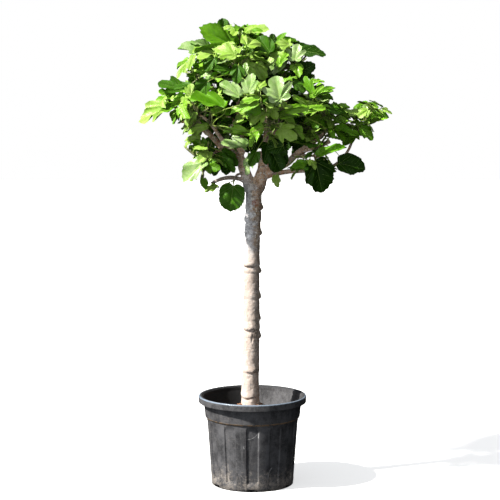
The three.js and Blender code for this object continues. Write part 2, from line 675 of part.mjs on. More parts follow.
// Whether the petiole meets the blade from behind or below, and not edge on.
function wellHung({ base, root, along, face }) {
  const petioleWay = base.clone().sub(root).normalize();
  const across = new THREE.Vector3().crossVectors(face, along);
  const crest = new THREE.Vector3().crossVectors(petioleWay, across);
  return crest.length() > 0.6 && crest.dot(face) - crest.dot(along) > 0.3;
}

// Points spread over a leaf: its corners, and those of its petiole.
function leafProbe(leaf) {
  const { left, right, top, ring } = leafPoints(leaf);
  return [...left, ...right, top, ...ring];
}

// A mass's stem and shoots, before its leaves. The stem's outer part carries leaves as a shoot does.
function growWood(mass, touches) {
  const end = boughEnd(mass.bough);
  const stem = stemCentres(mass, end);
  const stemRadius = (share) => lerp(end.radius - GAP, STEM_TIP_RADIUS, share);
  const twigs = [sweep(stem, stemRadius, 5, { start: end.along })];
  const shoots = [stem.slice(-3)];
  for (let index = 0; index < mass.shoots; index++) {
    const shoot = shootCentres(mass, stem, index);
    const solid = sweep(shoot, (share) => lerp(...SHOOT_RADII, share), 3);
    if (!shoot.slice(1).every((p) => inSpace(p, mass)) || touches(solid)) continue;
    shoots.push(shoot);
    twigs.push(solid);
  }
  return { mass, stem, shoots, wood: wasm.Manifold.union(twigs), blades: [] };
}

// Adds a leaf to a mass, unless it hangs badly or would touch anything but the twig it grows from.
function addLeaf({ wood, blades }, leaf, touches) {
  if (!wellHung(leaf)) return false;
  const solid = leafSolid(leaf);
  if (touches(solid)) return false;
  const box = new THREE.Box3().setFromPoints(leafProbe(leaf));
  if (blades.some((b) => b.box.intersectsBox(box) && !b.solid.intersect(solid).isEmpty())) return false;
  const outer = leafSolid({ ...leaf, root: leaf.base.clone().lerp(leaf.root, 0.75) });
  if (!outer.intersect(wood).isEmpty()) return false;
  blades.push({ solid, box });
  return true;
}

function addLeadingLeaves(growth, touches) {
  for (const lead of LEADING_LEAVES[growth.mass.name] ?? []) {
    leadingLeaf(lead, growth).find((leaf) => addLeaf(growth, leaf, touches));
  }
}

function addShootLeaves(growth, seed, touches) {
  const { mass, shoots } = growth;
  const random = randomFrom(seed);
  for (const shoot of shoots) {
    for (let order = 0; order < LEAF.perShoot; order++) {
      for (let attempt = 0; attempt < TRIES; attempt++) {
        const leaf = shootLeaf(shoot, order, attempt, random);
        if (!leafProbe(leaf).every((p) => inSpace(p, mass))) continue;
        if (addLeaf(growth, leaf, touches)) break;
      }
    }
  }
}

// Every mass as one solid: all the twigs first, then the leading leaves, then the rest of the leaves.
function foliage() {
  const limb = wasm.Manifold.union([trunk(LIMB_CLEARANCE), ...BOUGHS.map((b) => bough(b, LIMB_CLEARANCE))]);
  const touching = (solids) => (solid) => solids.some((other) => !solid.intersect(other).isEmpty());
  const leadBlades = Object.values(LEADING_LEAVES).flat().map((lead) => leafSolid(bladeOf(lead)));
  const grown = [];
  for (const mass of MASSES) {
    grown.push(growWood(mass, touching([limb, ...leadBlades, ...grown.map(({ wood }) => wood)])));
  }
  const solidsOf = ({ wood, blades }) => [wood, ...blades.map((b) => b.solid)];
  const clearOfOthers = (growth) => {
    const others = grown.filter((other) => other !== growth).flatMap(solidsOf);
    return touching([limb, wasm.Manifold.union(others)]);
  };
  grown.forEach((growth) => addLeadingLeaves(growth, clearOfOthers(growth)));
  grown.forEach((growth, i) => addShootLeaves(growth, FIRST_SEED + i, clearOfOthers(growth)));
  return new Map(grown.map((growth) => [growth.mass.name, mainBody(wasm.Manifold.union(solidsOf(growth)))]));
}

// ---------------------------------------------------------------- the assembled tree

const MATERIALS = {
  pot: { color: 0x2b2b2d, roughness: 0.55 },
  soil: { color: 0x3a2a1e, roughness: 0.95 },
  bark: { color: 0x9a8f80, roughness: 0.85 },
  leaf: { color: 0x4f8a1e, roughness: 0.5 },
};

const root = new THREE.Group();

function addNode(name, solid, look) {
  const material = new THREE.MeshStandardMaterial({ ...MATERIALS[look], metalness: 0 });
  const mesh = new THREE.Mesh(geometryFrom(solid), material);
  mesh.name = name;
  root.add(mesh);
}

addNode("pot", pot(), "pot");
addNode("soil", soil(), "soil");
limbs().forEach((solid, name) => addNode(name, solid, "bark"));
foliage().forEach((solid, name) => addNode(name, solid, "leaf"));

export default root;
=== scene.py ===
"""The looks of a potted fig standard: a fluted nursery pot, soil, bark, twigs and leaves.

Sizes are in millimetres, +Z up, the front towards -Y, as on the frame. A mesh is turned into metres
when its piece is made.
"""

import math
import random
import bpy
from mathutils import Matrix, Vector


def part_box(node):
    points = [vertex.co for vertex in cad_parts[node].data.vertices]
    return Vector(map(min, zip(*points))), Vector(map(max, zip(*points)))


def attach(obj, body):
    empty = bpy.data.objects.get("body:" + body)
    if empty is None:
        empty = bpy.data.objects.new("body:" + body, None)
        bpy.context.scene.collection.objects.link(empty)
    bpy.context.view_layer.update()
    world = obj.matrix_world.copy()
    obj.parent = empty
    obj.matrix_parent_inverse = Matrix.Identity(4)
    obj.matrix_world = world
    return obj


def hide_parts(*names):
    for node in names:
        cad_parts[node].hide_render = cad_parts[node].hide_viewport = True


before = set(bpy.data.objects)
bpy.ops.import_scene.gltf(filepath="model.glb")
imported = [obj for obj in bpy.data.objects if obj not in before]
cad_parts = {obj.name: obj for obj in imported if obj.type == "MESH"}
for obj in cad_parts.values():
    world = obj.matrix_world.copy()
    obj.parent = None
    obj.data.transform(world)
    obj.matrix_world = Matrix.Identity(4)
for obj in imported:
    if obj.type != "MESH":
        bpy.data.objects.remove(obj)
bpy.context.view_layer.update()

from types import SimpleNamespace

import bpy
import numpy as np
from mathutils import Vector, noise
from mathutils.bvhtree import BVHTree

MM = 0.001

# ---------------------------------------------------------------- sizes

POT_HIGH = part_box("pot")[1] / MM

POT = SimpleNamespace(
    height=POT_HIGH.z,
    rim=POT_HIGH.x,  # outside radius of the collar
    collar_drop=31,
    collar_wall=3.5,
    lip=15,  # width of the rim's flat top
    band_top=228,  # radius of the plain band, under the collar
    band_foot=219,
    shoulder=311,  # height of the step between band and fluted body
    body_top=212,
    body_foot=189,
    foot=186,
    wall=4.5,
    floor=20,
    flutes=12,
    flute_depth=5.5,
    flute_half=7.5,  # degrees
    flute_edge=0.7,  # degrees, half the width of a flute's side wall
    flute_foot=34,
    flute_head=296,
    flute_end=4,  # how softly a flute runs out at its two ends
    flute_arch=11,  # how much lower its head ends at its sides
    slots=6,
    slot_width=46,
    slot_height=12.5,
    slot_corner=4,
    slot_depth=18,
)
# Scrapes on the front, each part of a circle: its middle across and up, its radius, the stretch
# across, the stretch up, and how wide the scrape is.
SCRATCHES = [
    ((-26, 302), 57, (-26, 24), (240, 285), 1.3),
    ((226, 255), 200, (18, 34), (250, 279), 2.2),
    ((-140, 180), 104, (-44, -30), (200, 244), 1.6),
    ((150, 60), 80, (60, 100), (60, 112), 2.2),
]
SOIL = SimpleNamespace(top=320, edge=312, radius=203, foot_radius=196, depth=30, mound=58, mound_radius=84)
GROUND = 340.3  # the trunk's flat cut

# Spines are lists of points that a smooth curve passes through; radii taper from first to last.
TRUNK = SimpleNamespace(
    spine=[(-8, 0, 332.3), (-10, 0, 430), (-4, 0, 750), (-3, 0, 1065), (4, 0, 1262), (6, 0, 1384)],
    radii=(41, 36.5, 36, 37.5),  # at the foot, the middle, the neck and the fork
    flare=5,
    flare_height=45,
    # Old nodes: height, how far the ring stands out, the knob on it, and the side the knob is on.
    scars=[
        (409, 1.5, 4, 235),
        (526, 1.5, 6, 285),
        (687, 1.5, 8, 358),
        (722, 2, 5, 245),
        (765, 1, 5, 5),
        (866, 1.5, 7, 4),
        (984, 2, 9, 354),
        (1016, 2.5, 6, 240),
        (1160, 2, 7, 6),
        (1218, 1.5, 5, 185),
        (1274, 2, 9, 356),
    ],
    scar_width=15,
    scar_sag=5,
    sides=64,  # of its mesh, whose rings are about ring_gap apart
    ring_gap=3,
)
LIMB_SIDES = 20
LIMB_RING_GAP = 8
NODE_GAP = 46  # from one faint ring of an old node to the next, on a limb
SKIN = 0.4  # what melting the wood into one skin takes off it
BARK_VOXEL = 0.0026  # metres
BARK_KEPT = 0.62  # share of the bark's faces left after thinning out

# Each bough's two radii and its spine.
BOUGHS = {
    "bough_left": ((29, 21), [(-2, 0, 1318), (-22, -2, 1405), (-44, -6, 1462), (-62, -10, 1516)]),
    "bough_right": ((33, 22), [(12, 0, 1318), (33, 0, 1395), (49, 0, 1455), (50, 0, 1532)]),
    "bough_left_outer": ((17, 10), [(-50, -8, 1476), (-104, -4, 1512), (-172, 20, 1584), (-238, 46, 1652)]),
    "bough_left_inner": ((19, 12), [(-58, -9, 1500), (-50, 6, 1560), (-58, 14, 1640), (-62, 18, 1712)]),
    "bough_right_outer": (
        (20, 10),
        [(50, -2, 1425), (108, -16, 1455), (160, -30, 1482), (205, -46, 1526), (272, -72, 1572)],
    ),
    "bough_right_inner": ((18, 10), [(50, 0, 1516), (72, -6, 1572), (104, -16, 1650), (128, -24, 1744)]),
    "bough_right_low": (
        (12, 5.5),
        [(44, -4, 1415), (160, -6, 1440), (300, -4, 1447), (376, -2, 1470), (430, 0, 1528), (458, 0, 1592)],
    ),
    "bough_back": ((16, 9), [(-40, -4, 1452), (-54, 70, 1510), (-68, 150, 1576), (-76, 212, 1636)]),
    "bough_back_right": ((16, 9), [(48, 0, 1462), (88, 60, 1520), (134, 116, 1586), (168, 154, 1640)]),
    "bough_front_left": (
        (14, 8),
        [(-52, -8, 1484), (-88, -58, 1530), (-136, -112, 1586), (-172, -152, 1640)],
    ),
    "bough_front": ((14, 8), [(50, -2, 1500), (54, -70, 1556), (58, -148, 1612), (60, -210, 1652)]),
    "bough_upper_left": ((14, 8), [(-54, 10, 1600), (-92, 18, 1668), (-138, 32, 1740), (-174, 42, 1806)]),
    "bough_upper_front": ((12, 8), [(-52, 8, 1566), (-54, -50, 1650), (-62, -112, 1728), (-68, -154, 1800)]),
    "bough_top": ((11, 8), [(-60, 16, 1690), (-54, 18, 1760), (-48, 12, 1826), (-48, 4, 1886)]),
    "bough_upper_back": ((12, 8), [(66, -4, 1556), (62, 58, 1640), (52, 118, 1726), (46, 156, 1800)]),
    "bough_upper_right": ((11, 8), [(112, -20, 1690), (144, -30, 1746), (162, -40, 1800), (172, -46, 1842)]),
    "spur_left": ((8, 5.5), [(-130, 4, 1540), (-162, -40, 1532), (-188, -80, 1512)]),
    "spur_right": ((9, 6), [(186, -42, 1508), (222, -84, 1514), (246, -112, 1516)]),
    "spur_middle": ((6.5, 5), [(-34, -8, 1424), (-52, -38, 1432), (-68, -60, 1428)]),
    "stub_left": ((10, 7.5), [(-26, -4, 1394), (-84, -14, 1412), (-136, -20, 1408), (-188, -24, 1386)]),
}
# Snags that pruning left inside the leaves: radii and spine.
SNAGS = [
    ((11, 9), [(-190, 28, 1600), (-240, 30, 1640), (-285, 22, 1660), (-330, 10, 1670)]),
    ((12, 9.5), [(205, -46, 1526), (246, -74, 1542), (296, -92, 1556), (346, -104, 1580)]),
]

STEM_TIP = 4.6
SHOOT_RADII = (5.0, 4.2)
SIDE_SHOOT_RADII = (3.6, 3.2)
SHOOT_LENGTH = 90
SIDE_SHOOT_LENGTH = 52
SIDE_SHOOTS = (0.3, 0.62)  # where they leave a shoot
PETIOLE_RADII = (2.6, 1.7)
# How near a limb's surface a shoot or a side shoot may come, and how much thicker than their looks the
# limbs are when leaves are tested against them.
SHOOT_ROOM, SIDE_SHOOT_ROOM, LIMB_ROOM = 8, 7, 1

# The head, as middle and radii, is shared out between the masses, each round its own centre.
DOME = ((0, 0, 1745), (455, 450, 378))
HEAD_CORE = np.array([-10, 0, 1590.0])
# Leaves that grow inside this ellipsoid, in the head's own shade, get dark tints: painted shade.
SHADE_MIDDLE, SHADE_REACH = np.array([-10, 0, 1735.0]), np.array([285, 285, 235.0])
# Each mass's bough, its centre, its own radii round that (None for its share of the head) and how many
# shoots its stem has.
MASSES = {
    "leaves_top": ("bough_top", (-50, -10, 1985), None, 6),
    "leaves_upper_left": ("bough_upper_left", (-205, 50, 1885), None, 6),
    "leaves_upper_right": ("bough_upper_right", (165, -60, 1885), None, 6),
    "leaves_upper_front": ("bough_upper_front", (-70, -215, 1880), None, 6),
    "leaves_upper_back": ("bough_upper_back", (40, 215, 1880), None, 6),
    "leaves_left": ("bough_left_outer", (-290, 80, 1705), None, 6),
    "leaves_front_left": ("bough_front_left", (-225, -205, 1690), None, 7),
    "leaves_front": ("bough_front", (55, -285, 1690), None, 7),
    "leaves_right": ("bough_right_outer", (305, -80, 1680), None, 7),
    "leaves_back_right": ("bough_back_right", (230, 205, 1690), None, 7),
    "leaves_back": ("bough_back", (-75, 285, 1690), None, 6),
    "leaves_far_right": ("bough_right_low", (495, 0, 1655), (165, 170, 135), 5),
    "leaves_low_left": ("spur_left", (-205, -110, 1510), (150, 150, 150), 5),
    "leaves_low_right": ("spur_right", (262, -140, 1515), (160, 150, 160), 5),
    "leaves_low_middle": ("spur_middle", (-84, -80, 1400), (110, 110, 110), 0),
}

# Where the head is open from front to back: middle across and up, and how far each way.
OPEN_SKY = [
    (-405, 1560, 95, 112),
    (-345, 1497, 56, 44),
    (380, 1512, 31, 36),
    (545, 1808, 115, 44),
    (-415, 1960, 125, 72),
    (345, 1930, 105, 72),
    (165, 2092, 120, 42),
    (-45, 2128, 50, 30),
    (418, 1772, 52, 44),
    (608, 1600, 58, 72),
    (-140, 1335, 70, 30),
    (70, 1390, 40, 60),
    (208, 1370, 32, 34),
    (-340, 1862, 20, 24),
]

# Limbs that show from the front: no grown leaf hangs before them. Ends across and up, and how wide.
SHOWN_LIMBS = [
    ((-42, 1440), (-104, 1512), 24),
    ((-104, 1512), (-212, 1628), 24),
    ((40, 1400), (52, 1530), 20),
    ((110, 1455), (205, 1526), 22),
    ((70, 1425), (150, 1440), 16),
    ((-60, 1408), (-180, 1388), 14),
    ((440, 1545), (470, 1590), 12),
]

# Places low in the head that the sun reaches, and how wide a gap it comes through.
SUNLIT = [
    ((-38, -350, 1699), 26),
    ((-85, -290, 1570), 34),
    ((-68, -310, 1622), 26),
    ((0, -310, 1600), 34),
    ((-20, -210, 1485), 24),
    ((347, -220, 1551), 34),
    ((248, -180, 1480), 26),
    ((286, -240, 1711), 30),
    ((495, -40, 1680), 46),
    ((52, -20, 1440), 18),
]

LEAF = SimpleNamespace(
    length=138,
    spread=0.4,  # of its length, between the longest and the shortest
    tip_length=0.5,  # the youngest leaf's, in shares of the oldest one's
    shrinks=0.35,  # over the tries
    width=(0.85, 1),
    most_lobed=0.95,
    fold=(0.05, 0.4),  # up on both sides of the midrib
    droop=(0.05, 0.4),  # down towards the tip
    stalk=(0.3, 0.7),  # shares of the blade's length
    lean=(0.5, 1.4),  # radians off its shoot, at the shoot's tip and at its foot
    per_shoot=8,
    per_side_shoot=6,
    thickness=1.0,
    tries=18,
    cross_border=22,  # how far a leaf may reach into the next mass's share of the head
)

# Leaves placed one by one: the ones that draw the head's outline, the ones that catch the eye at its
# front, and dark ones that close gaps low in it. They were picked by eye in the photo, and for many of
# them a scratch script worked out the ends of the blade in millimetres, from pixels read there and the
# camera below. Each has the last part of its mass's name, the two ends of its blade, its width and how
# lobed it is (0 plain to 1 cut into five), the way its upper side looks, and its tint.
# The dark tint on the leaves that close gaps is painted shade.
PLACED = [
    ("top", (-129, -10, 2063), (-137, -10, 2130), 1.0, 0.0, (0.1, -0.9, 0.3), "deep"),
    ("top", (-87, -70, 2002), (-238, -90, 2085), 0.66, 0.05, (-0.3, -0.8, 0.5), "mid"),
    ("top", (-47, -40, 2050), (73, -50, 2084), 0.7, 0.5, (-0.2, -0.5, 0.8), "young"),
    ("upper_right", (185, -60, 1988), (330, -60, 1971), 0.68, 0.1, (0.1, -0.6, 0.8), "dark"),
    ("upper_right", (87, -40, 2000), (213, -20, 2034), 0.6, 0.5, (0.0, -0.6, 0.8), "mid"),
    ("upper_left", (-202, 30, 1976), (-340, 30, 2003), 0.75, 0.3, (-0.1, -0.6, 0.8), "pale"),
    ("upper_right", (192, -100, 1871), (277, -100, 1924), 0.85, 0.2, (0.3, -0.8, 0.4), "dark"),
    ("right", (264, -120, 1785), (361, -120, 1800), 0.75, 0.5, (0.2, -0.6, 0.7), "mid"),
    ("upper_left", (-317, 50, 1809), (-431, 50, 1845), 0.75, 0.4, (-0.2, -0.7, 0.6), "deep"),
    ("left", (-386, 50, 1736), (-520, 40, 1664), 0.84, 0.7, (-0.4, -0.6, 0.6), "young"),
    ("left", (-343, 110, 1755), (-472, 110, 1746), 0.7, 0.5, (-0.2, -0.5, 0.8), "bright"),
    ("low_left", (-214, -180, 1489), (-314, -180, 1409), 0.8, 0.1, (-0.4, -0.7, 0.5), "pale"),
    ("low_left", (-207, -150, 1541), (-268, -160, 1594), 0.8, 0.5, (-0.4, -0.7, 0.5), "mid"),
    ("low_left", (-136, -120, 1531), (-65, -110, 1469), 0.7, 0.2, (0.0, -0.9, 0.3), "deep"),
    ("low_middle", (-86, -90, 1378), (-104, -96, 1263), 1.14, 0.0, (-0.2, -0.9, 0.2), "deep"),
    ("low_middle", (-157, -80, 1375), (-220, -84, 1356), 0.8, 0.1, (-0.2, -0.5, 0.8), "young"),
    ("low_right", (277, -176, 1490), (314, -170, 1352), 1.05, 0.1, (0.3, -0.9, 0.2), "dark"),
    ("low_right", (386, -130, 1479), (504, -130, 1459), 0.96, 0.1, (0.2, -0.8, 0.5), "dark"),
    ("far_right", (496, 0, 1680), (622, 0, 1690), 0.6, 0.6, (0.0, -0.6, 0.8), "bright"),
    ("far_right", (478, 60, 1710), (579, 70, 1742), 0.8, 0.5, (0.0, -0.6, 0.8), "mid"),
    ("far_right", (484, -60, 1640), (538, -60, 1584), 0.8, 0.3, (0.3, -0.8, 0.3), "mid"),
    ("right", (325, -60, 1692), (438, -50, 1736), 0.6, 0.3, (-0.2, -0.6, 0.8), "bright"),
    ("right", (317, -130, 1656), (415, -140, 1590), 0.9, 0.6, (0.3, -0.7, 0.5), "mid"),
    ("front", (67, -260, 1574), (124, -260, 1452), 0.85, 0.3, (0.1, -0.9, 0.2), "dark"),
    ("upper_left", (-195, -60, 1998), (-259, -80, 2024), 0.6, 0.2, (-0.2, -0.7, 0.6), "pale"),
    ("upper_left", (-174, -170, 1971), (-235, -200, 1929), 0.6, 0.3, (-0.3, -0.6, 0.7), "bright"),
    ("upper_left", (-165, -340, 1938), (-203, -356, 1885), 0.8, 0.1, (0.1, -0.8, 0.3), "deep"),
    ("upper_left", (-258, -150, 1955), (-279, -190, 1892), 0.55, 0.2, (-0.5, -0.6, 0.6), "young"),
    ("upper_left", (-289, -60, 1941), (-343, -60, 1905), 0.6, 0.3, (-0.3, -0.6, 0.7), "bright"),
    ("upper_left", (-292, -90, 1922), (-335, -120, 1855), 0.55, 0.3, (-0.5, -0.6, 0.5), "young"),
    ("upper_front", (-194, -385, 1835), (-246, -370, 1785), 0.9, 0.1, (0.1, -0.9, 0.1), "deep"),
    ("front_left", (-124, -425, 1727), (-281, -353, 1768), 0.4, 0.1, (-0.1, -0.7, 0.6), "mid"),
    ("upper_front", (-62, -400, 1902), (-71, -425, 1826), 0.75, 0.3, (0.2, -0.9, 0.1), "deep"),
    ("upper_front", (-33, -415, 1868), (-28, -395, 1919), 0.6, 0.5, (-0.3, -0.7, 0.6), "pale"),
    ("upper_front", (-16, -435, 1792), (1, -420, 1872), 0.9, 0.6, (-0.3, -0.7, 0.6), "pale"),
    ("upper_front", (-58, -435, 1776), (-139, -410, 1837), 0.6, 0.5, (-0.3, -0.6, 0.7), "pale"),
    ("front_left", (18, -440, 1746), (-100, -430, 1713), 0.5, 0.4, (-0.2, -0.6, 0.7), "bright"),
    ("upper_front", (22, -430, 1763), (-58, -425, 1746), 0.5, 0.4, (-0.2, -0.6, 0.8), "bright"),
    ("top", (-3, -200, 1974), (-29, -180, 2032), 0.9, 0.1, (0.2, -0.9, 0.1), "deep"),
    ("top", (76, -190, 1970), (24, -160, 2041), 0.8, 0.2, (-0.1, -0.7, 0.5), "deep"),
    ("upper_right", (91, -60, 2020), (87, -60, 2058), 1.0, 0.1, (0.0, -0.9, 0.3), "dark"),
    ("upper_right", (194, -20, 1990), (210, -10, 2030), 0.8, 0.1, (0.1, -0.9, 0.2), "deep"),
    ("upper_right", (187, -150, 1937), (201, -130, 2008), 1.1, 0.8, (-0.2, -0.7, 0.6), "pale"),
    ("upper_right", (115, -240, 1908), (154, -220, 1965), 0.6, 0.5, (-0.2, -0.6, 0.7), "bright"),
    ("upper_right", (131, -300, 1842), (191, -300, 1863), 0.45, 0.3, (-0.1, -0.6, 0.8), "bright"),
    ("front", (115, -425, 1763), (94, -410, 1862), 1.15, 0.75, (-0.2, -0.8, 0.5), "pale"),
    ("right", (175, -405, 1772), (236, -380, 1747), 0.7, 0.6, (-0.1, -0.6, 0.7), "bright"),
    ("upper_right", (178, -300, 1837), (222, -300, 1795), 0.7, 0.2, (0.2, -0.8, 0.2), "deep"),
    ("right", (264, -230, 1770), (361, -210, 1822), 0.4, 0.5, (-0.1, -0.6, 0.8), "bright"),
    ("right", (257, -270, 1795), (224, -240, 1865), 0.5, 0.4, (-0.3, -0.7, 0.5), "mid"),
    ("front", (138, -380, 1709), (315, -340, 1734), 0.3, 0.3, (0.0, -0.5, 0.9), "bright"),
    ("right", (310, -180, 1726), (431, -160, 1687), 0.45, 0.2, (0.1, -0.6, 0.7), "deep"),
    ("far_right", (511, -40, 1692), (517, -20, 1746), 1.0, 0.3, (-0.2, -0.7, 0.5), "pale"),
    ("front_left", (-203, -250, 1644), (-282, -260, 1618), 0.75, 0.7, (-0.3, -0.6, 0.7), "young"),
    ("low_left", (-180, 20, 1486), (-206, 10, 1596), 0.8, 0.8, (-0.1, -0.9, 0.2), "deep"),
    ("low_left", (-136, -150, 1510), (-78, -170, 1444), 0.55, 0.1, (0.2, -0.8, 0.2), "deep"),
    ("front", (-24, -370, 1619), (-127, -370, 1636), 0.4, 0.4, (-0.2, -0.5, 0.8), "bright"),
    ("front_left", (-33, -290, 1559), (-139, -290, 1580), 0.75, 0.8, (-0.3, -0.6, 0.7), "pale"),
    ("front_left", (-15, -330, 1613), (-126, -330, 1633), 0.45, 0.4, (-0.3, -0.5, 0.8), "bright"),
    ("front", (43, -320, 1644), (-15, -300, 1559), 0.75, 0.5, (-0.4, -0.6, 0.6), "bright"),
    ("front_left", (-5, -200, 1518), (-27, -210, 1432), 0.7, 0.6, (-0.5, -0.6, 0.5), "pale"),
    ("front_left", (-276, -180, 1616), (-200, -200, 1650), 0.7, 0.5, (-0.3, -0.6, 0.6), "bright"),
    ("low_right", (176, -190, 1455), (257, -190, 1491), 0.6, 0.3, (-0.3, -0.6, 0.6), "mid"),
    ("right", (232, -260, 1699), (341, -250, 1738), 0.5, 0.4, (-0.2, -0.6, 0.8), "bright"),
    ("front", (15, -260, 1535), (-12, -260, 1472), 0.8, 0.2, (0.2, -0.9, 0.2), "deep"),
    ("front", (120, -230, 1537), (94, -230, 1444), 1.0, 0.1, (0.2, -0.9, 0.1), "dark"),
    ("front", (132, -290, 1562), (57, -290, 1545), 0.8, 0.1, (0.1, -0.8, 0.3), "dark"),
    ("low_right", (240, -200, 1485), (169, -200, 1463), 0.6, 0.2, (-0.2, -0.7, 0.5), "mid"),
    ("low_right", (288, -225, 1520), (412, -215, 1559), 0.4, 0.1, (-0.1, -0.7, 0.6), "mid"),
    ("low_right", (390, -120, 1509), (404, -120, 1460), 0.7, 0.1, (0.2, -0.9, 0.2), "dark"),
    ("right", (370, -150, 1634), (482, -130, 1598), 0.45, 0.1, (-0.1, -0.6, 0.7), "mid"),
    ("back", (40, 150, 1600), (-10, 140, 1520), 0.9, 0.2, (-0.2, -0.6, 0.6), "dark"),
    ("back", (-20, 110, 1612), (-24, 100, 1522), 0.7, 0.2, (-0.2, -0.7, 0.5), "dark"),
    ("left", (-345, 60, 1772), (-428, 60, 1808), 0.6, 0.3, (-0.2, -0.6, 0.7), "mid"),
    ("right", (286, -100, 1778), (362, -100, 1768), 0.7, 0.2, (0.1, -0.6, 0.7), "mid"),
    ("right", (250, -140, 1838), (318, -140, 1846), 0.5, 0.3, (0.0, -0.6, 0.8), "bright"),
    ("back_right", (160, 80, 1610), (148, 60, 1530), 0.9, 0.1, (0.1, -0.8, 0.4), "dark"),
    ("back_right", (235, 60, 1570), (190, 50, 1500), 0.9, 0.1, (-0.1, -0.8, 0.4), "dark"),
    ("low_left", (-98, -50, 1504), (-122, -60, 1426), 0.9, 0.1, (-0.2, -0.8, 0.3), "dark"),
    ("low_left", (-152, -50, 1488), (-178, -60, 1424), 0.8, 0.1, (-0.2, -0.8, 0.3), "dark"),
    ("low_right", (106, -70, 1424), (112, -75, 1370), 0.8, 0.3, (-0.3, -0.6, 0.5), "young"),
    ("far_right", (462, -30, 1600), (408, -50, 1556), 0.8, 0.3, (-0.2, -0.7, 0.5), "mid"),
]
# Ways forwards and back that a placed leaf may be moved, to clear wood and other leaves.
PLACED_SHIFTS = (0, -14, 14, -28, 28, -42)
PLACED_TRIES = 30
PLACED_SEATS = (0.2, 0.35, 0.5, 0.65, 0.8, 0.95)  # where on a twig it may sit
PLACED_TILT = 0.14  # radians, each time round the shifts
PLACED_FOLD, PLACED_DROOP = (0.12, 0.45), (0.03, 0.15)
PLACED_SEED, FIRST_SEED = 900, 101

# ---------------------------------------------------------------- small helpers

GOLDEN_ANGLE = math.pi * (3 - math.sqrt(5))
UP = np.array([0, 0, 1.0])
SIDEWAYS = np.array([1.0, 0, 0])
SUN_TURN = math.radians(-67)  # from straight behind the camera, towards its left
SUN_HEIGHT = math.radians(47)
SUNWARD = np.array([
    math.sin(SUN_TURN) * math.cos(SUN_HEIGHT),
    -math.cos(SUN_TURN) * math.cos(SUN_HEIGHT),
    math.sin(SUN_HEIGHT),
])


def lerp(a, b, share):
    return a + (b - a) * share


def unit(v):
    v = np.asarray(v, float)
    return v / np.linalg.norm(v)


def smooth_step(x, low, high):
    t = np.clip((np.asarray(x, float) - low) / (high - low), 0, 1)
    return t * t * (3 - 2 * t)


def bell(x, width):
    """1 where x is 0, dying away on both sides."""
    return np.exp(-((x / width) ** 2))


def around(count):
    """Angles in even steps round a circle."""
    return np.arange(count) * 2 * math.pi / count


def turned(v, axis, angle):
    """v turned round a unit axis."""
    cos, sin = math.cos(angle), math.sin(angle)
    return v * cos + np.cross(axis, v) * sin + axis * (axis @ v) * (1 - cos)


def square_to(axis, turn):
    """A unit vector square to axis, turned round it by turn."""
    side = unit(np.cross(UP if abs(axis[2]) < 0.9 else SIDEWAYS, axis))
    return turned(side, axis, turn)


def curve_through(spine, steps=60):
    """Points along the centripetal Catmull-Rom curve through a spine."""
    p = np.array(spine, float)
    p = np.vstack([2 * p[0] - p[1], p, 2 * p[-1] - p[-2]])
    t = np.linspace(0, 1, steps, endpoint=False)[:, None]
    stretches = []
    for a, b, c, d in zip(p, p[1:], p[2:], p[3:]):
        da, db, dc = (math.sqrt(np.linalg.norm(leg)) for leg in (b - a, c - b, d - c))
        leaving = ((b - a) / da - (c - a) / (da + db) + (c - b) / db) * db
        arriving = ((c - b) / db - (d - b) / (db + dc) + (d - c) / dc) * db
        bend = -3 * b + 3 * c - 2 * leaving - arriving
        stretches.append(b + leaving * t + bend * t**2 + (2 * b - 2 * c + leaving + arriving) * t**3)
    return np.vstack([*stretches, p[-2]])


def spaced(points, count):
    """count points at even distances along a chain of points."""
    legs = np.linalg.norm(np.diff(points, axis=0), axis=1)
    reached = np.concatenate([[0], np.cumsum(legs)])
    wanted = np.linspace(0, reached[-1], count)
    return np.column_stack([np.interp(wanted, reached, points[:, i]) for i in range(3)])


def point_along(chain, share):
    """A point a share of the way along a chain of even legs, and the chain's direction there."""
    place = min(max(share, 0), 1) * (len(chain) - 1)
    leg = min(int(place), len(chain) - 2)
    return lerp(chain[leg], chain[leg + 1], place - leg), unit(chain[leg + 1] - chain[leg])


def bezier(points, count):
    """count points along the Bezier curve that has these control points."""
    t = np.linspace(0, 1, count)[:, None]
    last = len(points) - 1
    return sum(p * math.comb(last, i) * t**i * (1 - t) ** (last - i) for i, p in enumerate(points))


def ring_frames(centres):
    """Two axes for each ring of a sweep, turned as little as possible from one ring to the next."""
    legs = np.diff(centres, axis=0)
    legs /= np.linalg.norm(legs, axis=1)[:, None]
    alongs = [unit(before + after) for before, after in zip([legs[0], *legs], [*legs, legs[-1]])]
    side = SIDEWAYS
    sides = []
    for along in alongs:
        side = unit(side - along * (side @ along))
        sides.append(side)
    return np.array(sides), np.cross(alongs, sides)


def ring_faces(rings, count, capped=True):
    """The faces over rings of count points that follow one another. With caps, the middles of the
    first ring and the last come after all the rings."""
    k = np.arange(count)
    after = (k + 1) % count
    starts = np.arange(0, (rings - 1) * count, count)[:, None]
    corners = (starts + k, starts + after, starts + count + after, starts + count + k)
    faces = [np.stack(corners, axis=-1).reshape(-1, 4)]
    if capped:
        last, middle = (rings - 1) * count, rings * count
        faces.append(np.column_stack([np.full(count, middle), after, k]))
        faces.append(np.column_stack([np.full(count, middle + 1), last + k, last + after]))
    return faces


def turned_over(faces):
    """The faces seen from their other side. Each still starts at the same corner, so that it is
    split along the same diagonal."""
    return [np.roll(group[:, ::-1], 1, axis=1) for group in faces]


def tube(centres, radii, sides):
    """The points and faces of a tube. radii is one for each ring, or one for each point of each ring."""
    centres = np.asarray(centres, float)
    radii = np.asarray(radii, float).reshape(len(centres), -1)
    side, lift = ring_frames(centres)
    angles = around(sides)[:, None]
    out = side[:, None] * np.cos(angles) + lift[:, None] * np.sin(angles)
    points = (centres[:, None] + out * radii[..., None]).reshape(-1, 3)
    return np.vstack([points, centres[0], centres[-1]]), ring_faces(len(centres), sides)


MARKS = "place on blade"


